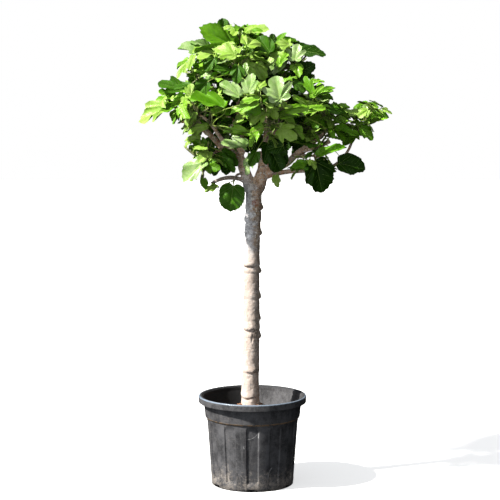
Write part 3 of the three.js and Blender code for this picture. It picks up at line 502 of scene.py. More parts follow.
class Heap:
    """Points and faces gathered for one piece, with a material number for each face and, on leaves,
    each point's place on its blade."""

    def __init__(self):
        self.points = []
        self.faces = []
        self.kinds = []
        self.marks = []
        self.count = 0

    def add(self, points, faces, kind=0, marks=None):
        """Adds points and one group of faces over them, or a list of groups."""
        for group in faces if isinstance(faces, list) else [faces]:
            self.faces.append(np.asarray(group) + self.count)
            self.kinds.append(np.broadcast_to(kind, len(group)))
        self.points.append(np.asarray(points, float))
        self.marks.append(np.zeros((len(points), 2)) if marks is None else marks)
        self.count += len(points)

    def mesh(self, name):
        mesh = bpy.data.meshes.new(name)
        points = np.vstack(self.points) * MM
        mesh.vertices.add(len(points))
        mesh.vertices.foreach_set("co", points.ravel())
        corners = np.concatenate([f.ravel() for f in self.faces])
        widths = np.concatenate([np.full(len(f), f.shape[1]) for f in self.faces])
        starts = np.concatenate([[0], np.cumsum(widths)[:-1]])
        mesh.loops.add(len(corners))
        mesh.loops.foreach_set("vertex_index", corners.astype(np.int32))
        mesh.polygons.add(len(widths))
        mesh.polygons.foreach_set("loop_start", starts.astype(np.int32))
        mesh.polygons.foreach_set("material_index", np.concatenate(self.kinds).astype(np.int32))
        marks = np.vstack(self.marks)
        if marks.any():
            mesh.uv_layers.new(name=MARKS).data.foreach_set("uv", marks[corners].ravel())
        mesh.update(calc_edges=True)
        mesh.validate()
        return mesh

    def tree(self):
        """The heap as a tree for testing other shapes against it."""
        faces = [face for group in self.faces for face in group.tolist()]
        return BVHTree.FromPolygons([tuple(p) for p in np.vstack(self.points) * MM], faces)


def in_scene(name, data):
    """A new object in the scene."""
    made = bpy.data.objects.new(name, data)
    bpy.context.scene.collection.objects.link(made)
    return made


def add_piece(name, shape, materials, replaced=(), flat=False):
    """Puts a heap or a mesh in the scene as one piece of the plant or the pot."""
    mesh = shape.mesh(name) if isinstance(shape, Heap) else shape
    for material in materials:
        mesh.materials.append(material)
    mesh.polygons.foreach_set("use_smooth", np.full(len(mesh.polygons), not flat))
    piece = in_scene(name, mesh)
    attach(piece, "root")
    if replaced:
        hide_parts(*replaced)


def with_modifiers(mesh, *modifiers):
    """The mesh with modifiers applied, each given as (type, its settings), and without materials."""
    carrier = in_scene("carrier", mesh)
    for kind, settings in modifiers:
        modifier = carrier.modifiers.new(kind, kind)
        for key, value in settings.items():
            setattr(modifier, key, value)
    graph = bpy.context.evaluated_depsgraph_get()
    made = bpy.data.meshes.new_from_object(carrier.evaluated_get(graph))
    made.materials.clear()
    bpy.data.objects.remove(carrier)
    bpy.data.meshes.remove(mesh)
    return made


def vectors_of(mesh, key):
    """The place ("co") or the normal of each of a mesh's points."""
    values = np.empty(len(mesh.vertices) * 3)
    mesh.vertices.foreach_get(key, values)
    return values.reshape(-1, 3)


def noise_at(points, scale, offset=0.0):
    """Smooth noise of about -1 to 1 at points, scale being the size of its lumps on each axis."""
    scaled = np.asarray(points) / scale + offset
    return np.array([noise.noise(Vector(p)) for p in scaled])


# ---------------------------------------------------------------- materials


class Nodes:
    """Short ways to build a tree of shader nodes."""

    def __init__(self, tree, coordinates):
        self.tree = tree
        self.where = self.node("ShaderNodeTexCoord").outputs[coordinates]

    def node(self, kind, inputs=None, **settings):
        """A new node with its settings; each of its inputs gets a value, or a link from a socket."""
        made = self.tree.nodes.new(kind)
        for key, value in settings.items():
            setattr(made, key, value)
        for key, value in (inputs or {}).items():
            if isinstance(value, bpy.types.NodeSocket):
                self.tree.links.new(value, made.inputs[key])
            else:
                made.inputs[key].default_value = value
        return made

    def maths(self, operation, a, b=0.0):
        return self.node("ShaderNodeMath", {0: a, 1: b}, operation=operation).outputs[0]

    def product(self, first, *others):
        for other in others:
            first = self.maths("MULTIPLY", first, other)
        return first

    def vector_maths(self, operation, a, b):
        return self.node("ShaderNodeVectorMath", {0: a, 1: b}, operation=operation)

    def length(self, vector):
        return self.node("ShaderNodeVectorMath", {0: vector}, operation="LENGTH").outputs["Value"]


class Look(Nodes):
    """A Principled material. All its lengths are in metres."""

    def __init__(self, name, colour, roughness, specular=0.5):
        self.material = bpy.data.materials.new(name)
        self.material.use_nodes = True
        super().__init__(self.material.node_tree, "Object")
        self.shader = self.tree.nodes["Principled BSDF"]
        self.shader.inputs["Base Color"].default_value = (*colour, 1)
        self.shader.inputs["Roughness"].default_value = roughness
        self.shader.inputs["Specular IOR Level"].default_value = specular
        axes = self.node("ShaderNodeSeparateXYZ", {"Vector": self.where}).outputs
        self.across, self.depth, self.height = axes["X"], axes["Y"], axes["Z"]
        self.painted = colour

    def link(self, key, value):
        self.tree.links.new(value, self.shader.inputs[key])

    def mix(self, share, a, b):
        """A colour from a to b, each a tuple or a socket."""
        made = self.node("ShaderNodeMix", {0: share}, data_type="RGBA")
        for socket, colour in ((made.inputs[6], a), (made.inputs[7], b)):
            if isinstance(colour, tuple):
                socket.default_value = (*colour, 1)
            else:
                self.tree.links.new(colour, socket)
        return made.outputs[2]

    def paint(self, colour, *shares):
        """Lays a colour over what is painted so far, thinned by the product of the shares."""
        self.painted = self.mix(self.product(*shares), self.painted, colour)
        self.link("Base Color", self.painted)

    def noise(self, scale, detail, roughness, squash=1):
        """Noise, its lumps flatter the higher squash is."""
        vector = self.where
        if squash != 1:
            vector = self.node("ShaderNodeMapping", {"Vector": vector, "Scale": (1, 1, squash)}).outputs[0]
        inputs = {"Vector": vector, "Scale": scale, "Detail": detail, "Roughness": roughness}
        return self.node("ShaderNodeTexNoise", inputs).outputs["Fac"]

    def between(self, value, low, high, to_low=0.0, to_high=1.0):
        """The stretch from low to high laid smoothly over the one from to_low to to_high."""
        inputs = {"Value": value, "From Min": low, "From Max": high, "To Min": to_low, "To Max": to_high}
        return self.node("ShaderNodeMapRange", inputs, interpolation_type="SMOOTHSTEP").outputs["Result"]

    def within(self, value, low, high, soft):
        """1 where value is from low to high, with soft ends inside that stretch."""
        rising = self.between(value, low, low + soft)
        return self.product(rising, self.between(value, high - soft, high, 1.0, 0.0))

    def strayed(self, value, far, scale, detail, roughness):
        """A value that noise moves up and down by as much as far, so that its borders wander."""
        stray = self.between(self.noise(scale, detail, roughness), 0.3, 0.7, -far, far)
        return self.maths("ADD", value, stray)

    def arc(self, x, z, radius, width):
        """A line along a circle, seen from the front."""
        across = self.maths("POWER", self.maths("SUBTRACT", self.across, x), 2.0)
        rise = self.maths("POWER", self.maths("SUBTRACT", self.height, z), 2.0)
        away = self.maths("SUBTRACT", self.maths("SQRT", self.maths("ADD", across, rise)), radius)
        return self.between(self.maths("ABSOLUTE", away), 0.3 * width, 1.6 * width, 1.0, 0.0)

    def spot(self, middle, reach):
        """A soft-edged ellipsoid: 1 at its middle, 0 outside."""
        offset = self.vector_maths("SUBTRACT", self.where, middle).outputs[0]
        away = self.length(self.vector_maths("DIVIDE", offset, reach).outputs[0])
        return self.between(away, 0.7, 1.05, 1.0, 0.0)

    def bump(self, height, distance, strength):
        made = self.node("ShaderNodeBump", {"Height": height, "Distance": distance, "Strength": strength})
        self.link("Normal", made.outputs["Normal"])


def mottled_look(name, dark, light, rough, scale, relief, specular=0.4, grain=(3.0, 0.6), strength=0.6):
    """A surface mottled from one colour to another."""
    look = Look(name, light, rough, specular)
    look.painted = dark
    look.paint(light, look.between(look.noise(scale, *grain), 0.35, 0.65))
    look.bump(look.noise(2.5 * scale, *grain), relief, strength)
    return look.material


def soil_look(name, dark, light):
    return mottled_look(name, dark, light, 0.95, 120.0, 0.002, 0.2, (4.0, 0.7), 0.8)


def pot_look():
    look = Look("pot plastic", (0.03, 0.032, 0.037), 0.55)
    look.painted = (0.028, 0.028, 0.031)
    # A dusty film, patchy and in streaks that run down.
    film = look.between(look.noise(13.0, 6.0, 0.75), 0.38, 0.66)
    streaks = look.between(look.noise(26.0, 5.0, 0.75, 0.12), 0.46, 0.66)
    grit = look.between(look.noise(110.0, 5.0, 0.85), 0.45, 0.72)
    look.paint((0.10, 0.10, 0.107), film)
    look.paint((0.125, 0.125, 0.132), streaks, 0.55)
    look.paint((0.18, 0.175, 0.17), grit, 0.35)
    # Dried mud splashed up round the foot, thinning out upwards, and dust in the step under the band.
    low = look.between(look.height, 0.0, 0.16, 0.15, -0.05)
    blotches = look.between(look.noise(11.0, 3.0, 0.6), 0.3, 0.7, -0.07, 0.05)
    spatter = look.maths("ADD", look.maths("ADD", look.noise(75.0, 7.0, 0.82), low), blotches)
    look.paint((0.38, 0.335, 0.29), look.between(spatter, 0.52, 0.78), 0.8)
    crumbs = look.between(look.noise(60.0, 3.0, 0.7), 0.38, 0.55)
    shoulder = look.within(look.height, POT.shoulder * MM - 0.006, POT.shoulder * MM + 0.006, 0.004)
    look.paint((0.42, 0.27, 0.14), shoulder, crumbs, 0.85)
    look.paint((0.38, 0.36, 0.33), look.between(look.noise(260.0, 3.0, 0.7), 0.62, 0.74), 0.5)
    # Painted shade: the inside of the wall, which leans out as it rises, is painted near black on the left,
    # where the sun never reaches it.
    radius = look.length(look.vector_maths("MULTIPLY", look.where, (1.0, 1.0, 0.0)).outputs[0])
    wall_foot, wall_lean = 0.1215, 0.273
    upright = look.maths("SUBTRACT", radius, look.product(look.height, wall_lean))
    wall = look.between(upright, wall_foot, wall_foot + 0.0015, 1.0, 0.0)
    look.paint((0.004, 0.004, 0.005), wall, look.between(look.across, -0.062, -0.05, 0.95, 0.0))
    # The rim's outer edge is shiny and carries a painted highlight, a pale blue glint laid on as colour; the
    # flat inside it is painted near black.
    crest = 0.4075
    edge = (POT.rim * MM - 0.008, POT.rim * MM - 0.005)
    rim = look.product(look.between(look.height, crest - 0.003, crest), look.between(radius, *edge))
    look.paint((0.27, 0.34, 0.43), rim, 0.7)
    flat = look.product(look.between(look.height, 0.4, crest), look.between(radius, *edge, 1.0, 0.0))
    look.paint((0.02, 0.021, 0.024), flat, 0.75)
    # Scratches: pale curved scrapes on the front.
    worn = look.between(look.noise(90.0, 4.0, 0.8), 0.4, 0.6, 0.25, 0.8)
    front = look.between(look.depth, -0.12, -0.1, 1.0, 0.0)
    for (x, z), bend, across, up, width in SCRATCHES:
        line = look.arc(x * MM, z * MM, bend * MM, width * MM)
        ends = (
            look.within(value, least * MM, most * MM, 4 * MM)
            for value, (least, most) in ((look.across, across), (look.height, up))
        )
        look.paint((0.45, 0.45, 0.45), line, *ends, front, worn)
    dull = look.between(look.noise(22.0, 4.0, 0.6), 0.3, 0.7, 0.5, 0.72)
    shiny = look.between(look.noise(90.0, 3.0, 0.6), 0.3, 0.7, 0.16, 0.3)
    dusty = look.mix(look.maths("MAXIMUM", wall, flat), dull, (0.85, 0.85, 0.85))
    look.link("Roughness", look.mix(rim, dusty, shiny))
    look.bump(look.noise(300.0, 4.0, 0.7), 0.0012, 0.6)
    return look.material


# Painted shade round old nodes, in metres: middle and reach. Most are thin dark bands in the grooves under
# the nodes' rings, where the ledges overhang; the widest lies round the crack and the hole.
HOLLOW_SHADE = [
    ((0.010, -0.036, 0.705), (0.020, 0.030, 0.026)),
    ((0.014, -0.036, 0.528), (0.016, 0.030, 0.012)),
    ((-0.012, -0.036, 1.006), (0.030, 0.040, 0.005)),
    ((0.000, -0.036, 0.402), (0.020, 0.030, 0.005)),
    ((-0.006, -0.038, 1.350), (0.004, 0.030, 0.006)),
]
# An old pruning scar and the rusty stain below it.
SCAR = ((0.001, -0.04, 1.317), (0.0095, 0.03, 0.0058))
STAIN = ((0.013, -0.04, 1.298), (0.020, 0.04, 0.020))


def bark_look():
    """Bark, told apart by height: the lower trunk, the upper trunk and, from the fork, the limbs."""
    look = Look("bark", (0.42, 0.37, 0.31), 0.85, 0.25)
    patches = look.between(look.noise(14.0, 5.0, 0.65), 0.35, 0.65)
    blotches = look.between(look.noise(46.0, 5.0, 0.72), 0.42, 0.58)
    sky_lit_cool = look.mix(blotches, (0.52, 0.51, 0.52), (0.90, 0.90, 0.92))
    warm = look.mix(blotches, (0.46, 0.31, 0.19), (0.93, 0.76, 0.60))
    limbs = look.mix(blotches, (0.62, 0.36, 0.21), (0.96, 0.72, 0.54))
    look.painted = look.mix(patches, (0.575, 0.475, 0.41), (0.73, 0.625, 0.55))
    # Above the ring under the head, in its shade, it is blue-grey on the left and brown on the right. The
    # blue-grey is partly painted light: it is kept light to stand in for the sky's light that falls on that
    # side.
    border = look.strayed(look.across, 0.022, 28.0, 4.0, 0.7)
    upper = look.mix(look.between(border, -0.006, 0.022), sky_lit_cool, warm)
    look.paint(upper, look.between(look.height, 1.02, 1.16))
    # Redder on the right and up the limbs.
    right = look.between(look.across, -0.03, 0.05, 0.0, 0.6)
    redder = look.maths("ADD", right, look.between(look.height, 1.33, 1.5))
    redder = look.product(redder, look.between(look.height, 1.24, 1.36))
    look.paint(limbs, look.maths("MINIMUM", redder, 1.0))
    # Browner and darker all down the right, the side away from the sun: partly painted shade.
    brown = look.between(look.strayed(look.across, 0.012, 40.0, 4.0, 0.7), -0.006, 0.032, 0.0, 0.7)
    look.paint((0.26, 0.195, 0.135), brown, look.between(look.height, 1.22, 1.32, 1.0, 0.0))
    # Grime that gathers in blotches and runs, most of it on the lower trunk's right; laying it thickest on
    # that side, away from the sun, is partly painted shade.
    grime = look.between(look.noise(34.0, 6.0, 0.8, 0.55), 0.5, 0.64)
    side = look.between(look.across, -0.012, 0.02, 0.18, 0.8)
    look.paint((0.19, 0.16, 0.135), grime, side, look.between(look.height, 1.2, 1.3, 1.0, 0.5))
    # Pale lenticels, wider than tall, and dark flecks between them.
    look.paint((0.70, 0.67, 0.64), look.between(look.noise(95.0, 2.0, 0.55, 1.7), 0.59, 0.66), 0.65)
    look.paint((0.12, 0.095, 0.075), look.between(look.noise(75.0, 5.0, 0.75, 0.6), 0.57, 0.68), 0.5)
    # Painted shade on the far right under the fork, the side away from the sun, and dark out along the pruned
    # stub on the left.
    edge = look.between(look.across, 0.022, 0.036, 0.0, 0.7)
    edge = look.product(edge, look.within(look.height, 1.24, 1.40, 0.04))
    stub = look.between(look.across, -0.075, -0.05, 0.65, 0.0)
    stub = look.product(stub, look.between(look.height, 1.45, 1.42))
    look.paint((0.27, 0.19, 0.13), look.maths("MAXIMUM", edge, stub))
    # Lichen and pits, dense on the upper trunk and the limbs.
    shaded = look.between(look.height, 1.02, 1.14)
    pits = look.between(look.noise(105.0, 3.0, 0.6, 1.25), 0.42, 0.34)
    look.paint((0.13, 0.10, 0.08), pits, shaded, 0.75)
    lichen = look.between(look.noise(125.0, 2.0, 0.55), 0.585, 0.645)
    look.paint((0.97, 0.95, 0.90), lichen, shaded, 0.85)
    rust = look.between(look.noise(60.0, 4.0, 0.7), 0.35, 0.65, 0.1, 0.8)
    look.paint((0.38, 0.13, 0.07), look.spot(*STAIN), rust)
    rough_ring = look.between(look.noise(120.0, 4.0, 0.7), 0.4, 0.6)
    # Painted shade in those hollows, broken up by noise.
    for hollow in HOLLOW_SHADE:
        look.paint((0.07, 0.052, 0.042), look.spot(*hollow), rough_ring, 0.85)
    healed = look.between(look.noise(130.0, 3.0, 0.6), 0.38, 0.5, 0.25, 1.0)
    look.paint((1.0, 0.90, 0.76), look.spot(*SCAR), healed)
    look.bump(look.noise(110.0, 5.0, 0.7, 0.6), 0.0026, 0.8)
    return look.material


SIDE_VEIN_LEAN = 0.75  # how far a side vein runs towards the tip for each step outwards
SIDE_VEIN_GAP = 0.08  # from one side vein to the next along the midrib, in shares of the blade
SIDE_VEINS = (0.20, 0.36, 0.52, 0.68)  # where the stouter side veins leave the midrib


def leaf_look(name, colour, edge, roughness, specular):
    """A leaf's surface: mottled from one colour to a second, and quilted between its side veins."""
    look = Look(name, colour, roughness, specular)
    place = look.node("ShaderNodeUVMap", uv_map=MARKS).outputs[0]
    place = look.node("ShaderNodeSeparateXYZ", {"Vector": place}).outputs
    outwards = look.product(look.maths("ABSOLUTE", place["Y"]), SIDE_VEIN_LEAN)
    along = look.strayed(look.maths("SUBTRACT", place["X"], outwards), 0.008, 25.0, 2.0, 0.5)
    turns = look.product(look.maths("SUBTRACT", along, SIDE_VEINS[0]), 2 * math.pi / SIDE_VEIN_GAP)
    vein = look.maths("COSINE", turns)
    look.paint(edge, look.between(look.noise(38.0, 3.0, 0.6), 0.3, 0.7))
    look.paint(tuple(1.15 * c for c in edge), look.between(vein, 0.70, 1.0, 0.0, 0.3))
    sheen = look.between(look.noise(60.0, 3.0, 0.6), 0.3, 0.7, roughness - 0.06, roughness + 0.08)
    look.link("Roughness", sheen)
    quilt = look.product(vein, look.between(look.noise(7.0, 2.0, 0.5), 0.4, 0.65, -0.08, -0.36))
    look.bump(look.maths("ADD", quilt, look.noise(230.0, 3.0, 0.65)), 0.0009, 0.8)
    return look.material


# Each tint's two colours, roughness and gloss.
TINTS = {
    "young": ((0.215, 0.40, 0.03), (0.32, 0.49, 0.10), 0.36, 0.28),
    "bright": ((0.155, 0.38, 0.010), (0.23, 0.45, 0.035), 0.34, 0.28),
    "mid": ((0.080, 0.235, 0.004), (0.122, 0.30, 0.010), 0.38, 0.18),
    "deep": ((0.034, 0.115, 0.003), (0.052, 0.155, 0.006), 0.40, 0.15),
    # pale is greyer and whiter than the others: partly painted sheen, standing in for the glare on glossy
    # tops.
    "pale": ((0.18, 0.345, 0.065), (0.33, 0.45, 0.19), 0.30, 0.45),
    # dark is near black-green: painted shade, for leaves deep in the head and ones that close its shaded
    # gaps.
    "dark": ((0.011, 0.040, 0.001), (0.019, 0.064, 0.002), 0.42, 0.10),
}
# The tints whose veins are dark too.
DULL_TINTS = ("mid", "deep", "dark")
# How often each tint is dealt out to a spray, in the order above.
# The front masses get more of the light tints: painted light, standing in for light that shines through the
# leaves low at the front.
FRONT_LIT_SHARES = (4, 6, 3, 1, 1, 0)
TINT_SHARES = {
    "leaves_far_right": (4, 5, 1, 0, 3, 0),
    "leaves_front": FRONT_LIT_SHARES,
    "leaves_front_left": FRONT_LIT_SHARES,
    "leaves_low_middle": FRONT_LIT_SHARES,
    "elsewhere": (2.5, 5, 5, 2, 1.5, 0),
}
UNDERSIDE = ((0.135, 0.30, 0.02), (0.19, 0.37, 0.04), 0.65, 0.16)
# The looks of the small foliage pieces, as mottled_look takes them.
FINE_LOOKS = {
    "veins": [
        ("leaf vein", (0.26, 0.40, 0.075), (0.38, 0.50, 0.13), 0.5, 60.0, 0.0005),
        # The second, darker vein look goes with the dull tints; on leaves of the dark tint it is painted
        # shade, as their blades are.
        ("old leaf vein", (0.11, 0.21, 0.035), (0.17, 0.29, 0.05), 0.5, 60.0, 0.0005),
    ],
    "petioles": [("leaf stalk", (0.24, 0.38, 0.05), (0.38, 0.50, 0.10), 0.45, 40.0, 0.0005)],
    "shoots": [
        ("green shoot", (0.12, 0.13, 0.05), (0.25, 0.27, 0.11), 0.6, 70.0, 0.001),
        ("bud", (0.25, 0.33, 0.07), (0.40, 0.45, 0.14), 0.5, 50.0, 0.0005),
    ],
}


# ---------------------------------------------------------------- pot


def pot_profile():
    """The pot's section, (radius, height), from the middle of its underside up the outside and down
    the inside, with its corners rounded."""
    p = POT
    slope = (p.body_top - p.body_foot) / p.shoulder
    collar_foot = p.height - p.collar_drop
    collar_inside = p.rim - p.collar_wall
    band_head = p.height - p.collar_wall - 3
    table = np.array([  # radius, height, how round the corner is
        (0, 0, 0),
        (p.foot, 0, 4),
        (p.body_foot + slope * 12, 12, 3),
        (p.body_top, p.shoulder - 2, 3),
        (p.band_foot, p.shoulder + 1, 3),
        (p.band_top, band_head, 1.5),
        (collar_inside, band_head, 1.5),
        (collar_inside - 0.5, collar_foot, 1),
        (p.rim - 0.5, collar_foot, 1.5),
        (p.rim, p.height, 6),
        (p.rim - p.lip, p.height - 1.5, 4),
        (p.band_top - p.wall, collar_foot, 8),
        (p.body_top - p.wall - p.flute_depth, p.shoulder - 6, 10),
        (p.body_foot + slope * p.floor - p.wall - p.flute_depth, p.floor, 6),
        (0, p.floor, 0),
    ])
    corners, rounding = table[:, :2], table[:, 2]
    section = [corners[0]]
    for before, at, after, reach in zip(corners, corners[1:], corners[2:], rounding[1:]):
        back, on = before - at, after - at
        reach = min(reach, 0.45 * np.linalg.norm(back), 0.45 * np.linalg.norm(on))
        section += [*bezier([at + unit(back) * reach, at, at + unit(on) * reach], 5)]
    return split_long_legs([*section, corners[-1]])


def split_long_legs(section, longest=9):
    """The section with points added, so that no leg is longer than longest."""
    points = [section[0]]
    for a, b in zip(section, section[1:]):
        pieces = max(1, math.ceil(math.dist(a, b) / longest))
        points += [lerp(a, b, (i + 1) / pieces) for i in range(pieces)]
    return np.array(points)


def pot_angles():
    """Angles round the pot in degrees, close together where a flute's side wall falls."""
    low, high = POT.flute_half - 2 * POT.flute_edge, POT.flute_half + 2 * POT.flute_edge
    period = 360 / POT.flutes
    half = [
        *np.linspace(0, low, 4, endpoint=False),
        *np.linspace(low, high, 7),
        *np.linspace(high, period / 2, 4)[1:-1],
    ]
    one = sorted({round(side * a, 4) for a in half for side in (1, -1)})
    return np.array([flute * period + a for flute in range(POT.flutes) for a in [*one, period / 2]])


def flute_sink(angle, height):
    """How far the outside is pushed in by the flutes, with rounded ends."""
    p = POT
    period = 360 / p.flutes
    off = np.abs((angle + period / 2) % period - period / 2)
    # The head of a flute is an arch: the further from its middle line, the lower it ends.
    arch = p.flute_arch * (1 - np.sqrt(np.clip(1 - (off / p.flute_half) ** 2, 0, 1)))
    head = p.flute_head - arch
    across = 1 - smooth_step(off, p.flute_half - p.flute_edge, p.flute_half + p.flute_edge)
    top = 1 - smooth_step(height, head - p.flute_end, head + p.flute_end)
    foot = smooth_step(height, p.flute_foot - p.flute_end, p.flute_foot + p.flute_end)
    return p.flute_depth * across * np.where(height > (p.flute_head + p.flute_foot) / 2, top, foot)


def make_pot():
    profile, angles = pot_profile(), pot_angles()
    radius, height = (np.repeat(profile[:, [i]], len(angles), axis=1) for i in (0, 1))
    outside = np.arange(len(profile)) < np.argmax(profile[:, 1])
    radius = radius - np.where(outside[:, None], flute_sink(angles[None], height), 0)
    # The wall is a little out of true, as a thin moulded pot filled with soil is.
    turn = np.radians(angles)
    swell = 0.8 * np.sin(2 * turn + 0.7) + 0.5 * np.sin(3 * turn + 2.1)
    swell = swell * smooth_step(height, 40, 200) * (1 - smooth_step(height, 330, 380))
    radius = radius + swell * (radius > 100)
    points = np.stack([radius * np.sin(turn), -radius * np.cos(turn), height], axis=-1)
    shell = Heap()
    rings = points[1:-1]
    shell.add(np.vstack([*rings, points[0, 0], points[-1, 0]]), ring_faces(len(rings), len(angles)))
    slots = in_scene("slots", slot_heap().mesh("slots"))
    cut = ("BOOLEAN", {"operation": "DIFFERENCE", "solver": "EXACT", "object": slots})
    mesh = with_modifiers(shell.mesh("pot_shell"), cut)
    bpy.data.objects.remove(slots)
    add_piece("pot_shell", mesh, [pot_look()], ["pot"])


def slot_heap():
    """Round-topped blocks that cut the drainage slots round the foot."""
    half, top, corner = POT.slot_width / 2, POT.slot_height, POT.slot_corner
    bends = [(corner * math.sin(a), corner * math.cos(a)) for a in np.linspace(0, math.pi / 2, 5)]
    arc = [(half - corner + x, top - corner + z) for x, z in bends]
    outline = [(-half, -10), (half, -10), *reversed(arc), *[(-x, z) for x, z in arc]]
    k = np.arange(len(outline))
    heap = Heap()
    for turn in around(POT.slots):
        sin, cos = math.sin(turn), math.cos(turn)
        points = [
            (x * cos + out * sin, x * sin - out * cos, z)
            for out in (POT.foot - POT.slot_depth, POT.foot + POT.slot_depth)
            for x, z in outline
        ]
        heap.add(points, [*ring_faces(2, len(k), capped=False), k[None, ::-1], (k + len(k))[None]])
    return heap


# ---------------------------------------------------------------- soil

CHIPS = [
    ("chip red", (0.20, 0.075, 0.035), (0.38, 0.17, 0.09)),
    ("chip brown", (0.10, 0.055, 0.03), (0.22, 0.13, 0.075)),
    ("chip pale", (0.32, 0.22, 0.14), (0.50, 0.38, 0.27)),
]
CHIP_FACES = np.array([(0, 3, 2, 1), (4, 5, 6, 7), (0, 1, 5, 4), (1, 2, 6, 5), (2, 3, 7, 6), (3, 0, 4, 7)])
# The corners of a chip's end, in shares of its width and thickness.
CHIP_END = ((-0.5, -0.5), (0.5, -0.5), (0.45, 0.5), (-0.4, 0.5))


def soil_height(x, y):
    """The soil's smooth surface, heaped a little round the stem."""
    r = np.hypot(x - TRUNK.spine[0][0], y)
    flat = lerp(SOIL.top, SOIL.edge, smooth_step(r, 60, SOIL.radius))
    return flat + SOIL.mound * bell(r, SOIL.mound_radius)


def make_soil():
    rings, columns = 56, 150
    radii = np.linspace(0, SOIL.radius, rings + 1)[1:]
    x, y = (np.outer(radii, wave(around(columns))).ravel() for wave in (np.cos, np.sin))
    flat = np.column_stack([x, y, np.zeros_like(x)])
    lumps = 3.5 * noise_at(flat, 22) + 2.2 * noise_at(flat, 9, 5.0) + 1.2 * noise_at(flat, 4.5, 9.0)
    top = np.column_stack([x, y, soil_height(x, y) + lumps])
    foot = top[-columns:] * (SOIL.foot_radius / SOIL.radius)
    foot[:, 2] = SOIL.edge - SOIL.depth
    bed = Heap()
    middles = [[0, 0, soil_height(0, 0)], [0, 0, SOIL.edge - SOIL.depth]]
    bed.add(np.vstack([top, foot, middles]), turned_over(ring_faces(rings + 1, columns)))
    earth = soil_look("soil", (0.025, 0.016, 0.010), (0.075, 0.048, 0.030))
    add_piece("soil_bed", bed, [earth], ["soil"])
    add_piece("soil_chips", chip_heap(420), [soil_look(*chip) for chip in CHIPS], flat=True)


def chip_heap(count):
    """Bark chips and crumbs scattered over the soil, thickest round the stem."""
    rng = random.Random(7)
    heap = Heap()
    for _ in range(count):
        distance = 44 + (SOIL.radius - 56) * rng.random() ** 1.5
        turn = rng.uniform(0, 2 * math.pi)
        x, y = distance * math.cos(turn) + TRUNK.spine[0][0], distance * math.sin(turn)
        length, width, thick = rng.uniform(7, 24), rng.uniform(4, 10), rng.uniform(1.5, 4.5)
        along = unit([rng.uniform(-1, 1), rng.uniform(-1, 1), rng.uniform(-0.35, 0.35)])
        side = square_to(along, rng.uniform(-0.7, 0.7))
        lift = np.cross(along, side)
        centre = np.array([x, y, float(soil_height(x, y)) + thick * 0.6 + 1])
        points = []
        for end in (-0.5, 0.5):
            for a, b in CHIP_END:
                corner = along * end * length + side * a * width + lift * b * thick
                points.append(centre + corner * rng.uniform(0.7, 1.15))
        heap.add(points, CHIP_FACES, rng.choice((0, 0, 1, 1, 2)))
    return heap


# ---------------------------------------------------------------- trunk and boughs


def trunk_radii(centres, sides):
    """The trunk's radius at each point of each ring: taper, root flare, ring scars and knobs."""
    t = TRUNK
    z = centres[:, 2:]
    foot, fork = t.spine[0][2], t.spine[-1][2]
    radius = np.interp(z, [foot, (foot + fork) / 2, lerp(foot, fork, 0.86), fork], t.radii)
    radius = radius + t.flare * np.exp(-(z - foot) / t.flare_height)
    for height, relief, knob, side in t.scars:
        turn = around(sides)[None] - math.radians(side)
        facing = np.maximum(0, np.cos(turn)) ** 5
        # A knob hangs lower than its ring; it swells slowly from above and is cut off sharply below.
        off = z - height + t.scar_sag * facing - 3 + 2.0 * np.sin(3 * turn + height)
        near = bell(off, np.where(off > 0, t.scar_width * 1.25, t.scar_width * 0.6))
        radius = radius + near * (relief + 0.95 * knob * facing)
        radius = radius - bell(off + 12, 4.0) * (0.9 * relief + 0.4 * knob * facing)
    return radius


def limb_centres(spine, gap):
    """Points along a limb's spine, about gap apart."""
    points = curve_through(spine)
    length = np.linalg.norm(np.diff(points, axis=0), axis=1).sum()
    return spaced(points, max(4, round(length / gap)))


def limb_tubes():
    """Every limb as (centres, radii, sides), the trunk first."""
    centres = limb_centres(TRUNK.spine, TRUNK.ring_gap)
    yield centres, trunk_radii(centres, TRUNK.sides), TRUNK.sides
    for (thick, thin), spine in [*BOUGHS.values(), *SNAGS]:
        centres = limb_centres(spine, LIMB_RING_GAP)
        share = np.linspace(0, 1, len(centres))
        # A swollen collar where the limb leaves its parent, and faint rings of old nodes along it.
        reach = share * (len(centres) - 1) * LIMB_RING_GAP
        buried = 1 - 0.5 * bell(reach, 1.1 * thick)
        collar = 0.12 * thick * bell(reach - 1.6 * thick, 1.2 * thick)
        rings = 0.45 * bell(reach % NODE_GAP - NODE_GAP / 2, 4)
        yield centres, (lerp(thick, thin, share) + collar) * buried + rings + SKIN, LIMB_SIDES


def make_wood(stems):
    """Trunk, boughs, snags and the masses' stems, melted into one skin that carries the bark."""
    heap = Heap()
    for limb in limb_tubes():
        heap.add(*tube(*limb))
    for stem, radius in stems:
        heap.add(*tube(spaced(stem, 30), np.linspace(radius, STEM_TIP, 30) + SKIN, 12))
    melt = ("REMESH", {"mode": "VOXEL", "voxel_size": BARK_VOXEL, "adaptivity": 0.0})
    mesh = with_modifiers(heap.mesh("wood"), melt, ("SMOOTH", {"factor": 0.5, "iterations": 4}))
    points = vectors_of(mesh, "co") / MM
    thick = smooth_step(np.hypot(points[:, 0], points[:, 1]), 140, 60)
    relief = 1.3 * noise_at(points, np.array([17, 17, 24])) + 0.6 * noise_at(points, np.array([7, 7, 9]), 3.0)
    wrinkles = np.abs(noise_at(points, np.array([26, 26, 12]), 8.0))
    relief = relief - 0.7 * (1 - smooth_step(wrinkles, 0.0, 0.1))
    relief = relief * lerp(0.45, 1.0, thick) + crack(points)
    points = points + vectors_of(mesh, "normal") * relief[:, None]
    points[:, 2] = np.maximum(points[:, 2], GROUND - 8)
    mesh.vertices.foreach_set("co", (points * MM).ravel())
    mesh.update()
    mesh = with_modifiers(mesh, ("DECIMATE", {"ratio": BARK_KEPT}))
    add_piece("bark", mesh, [bark_look()], ["trunk", *BOUGHS])


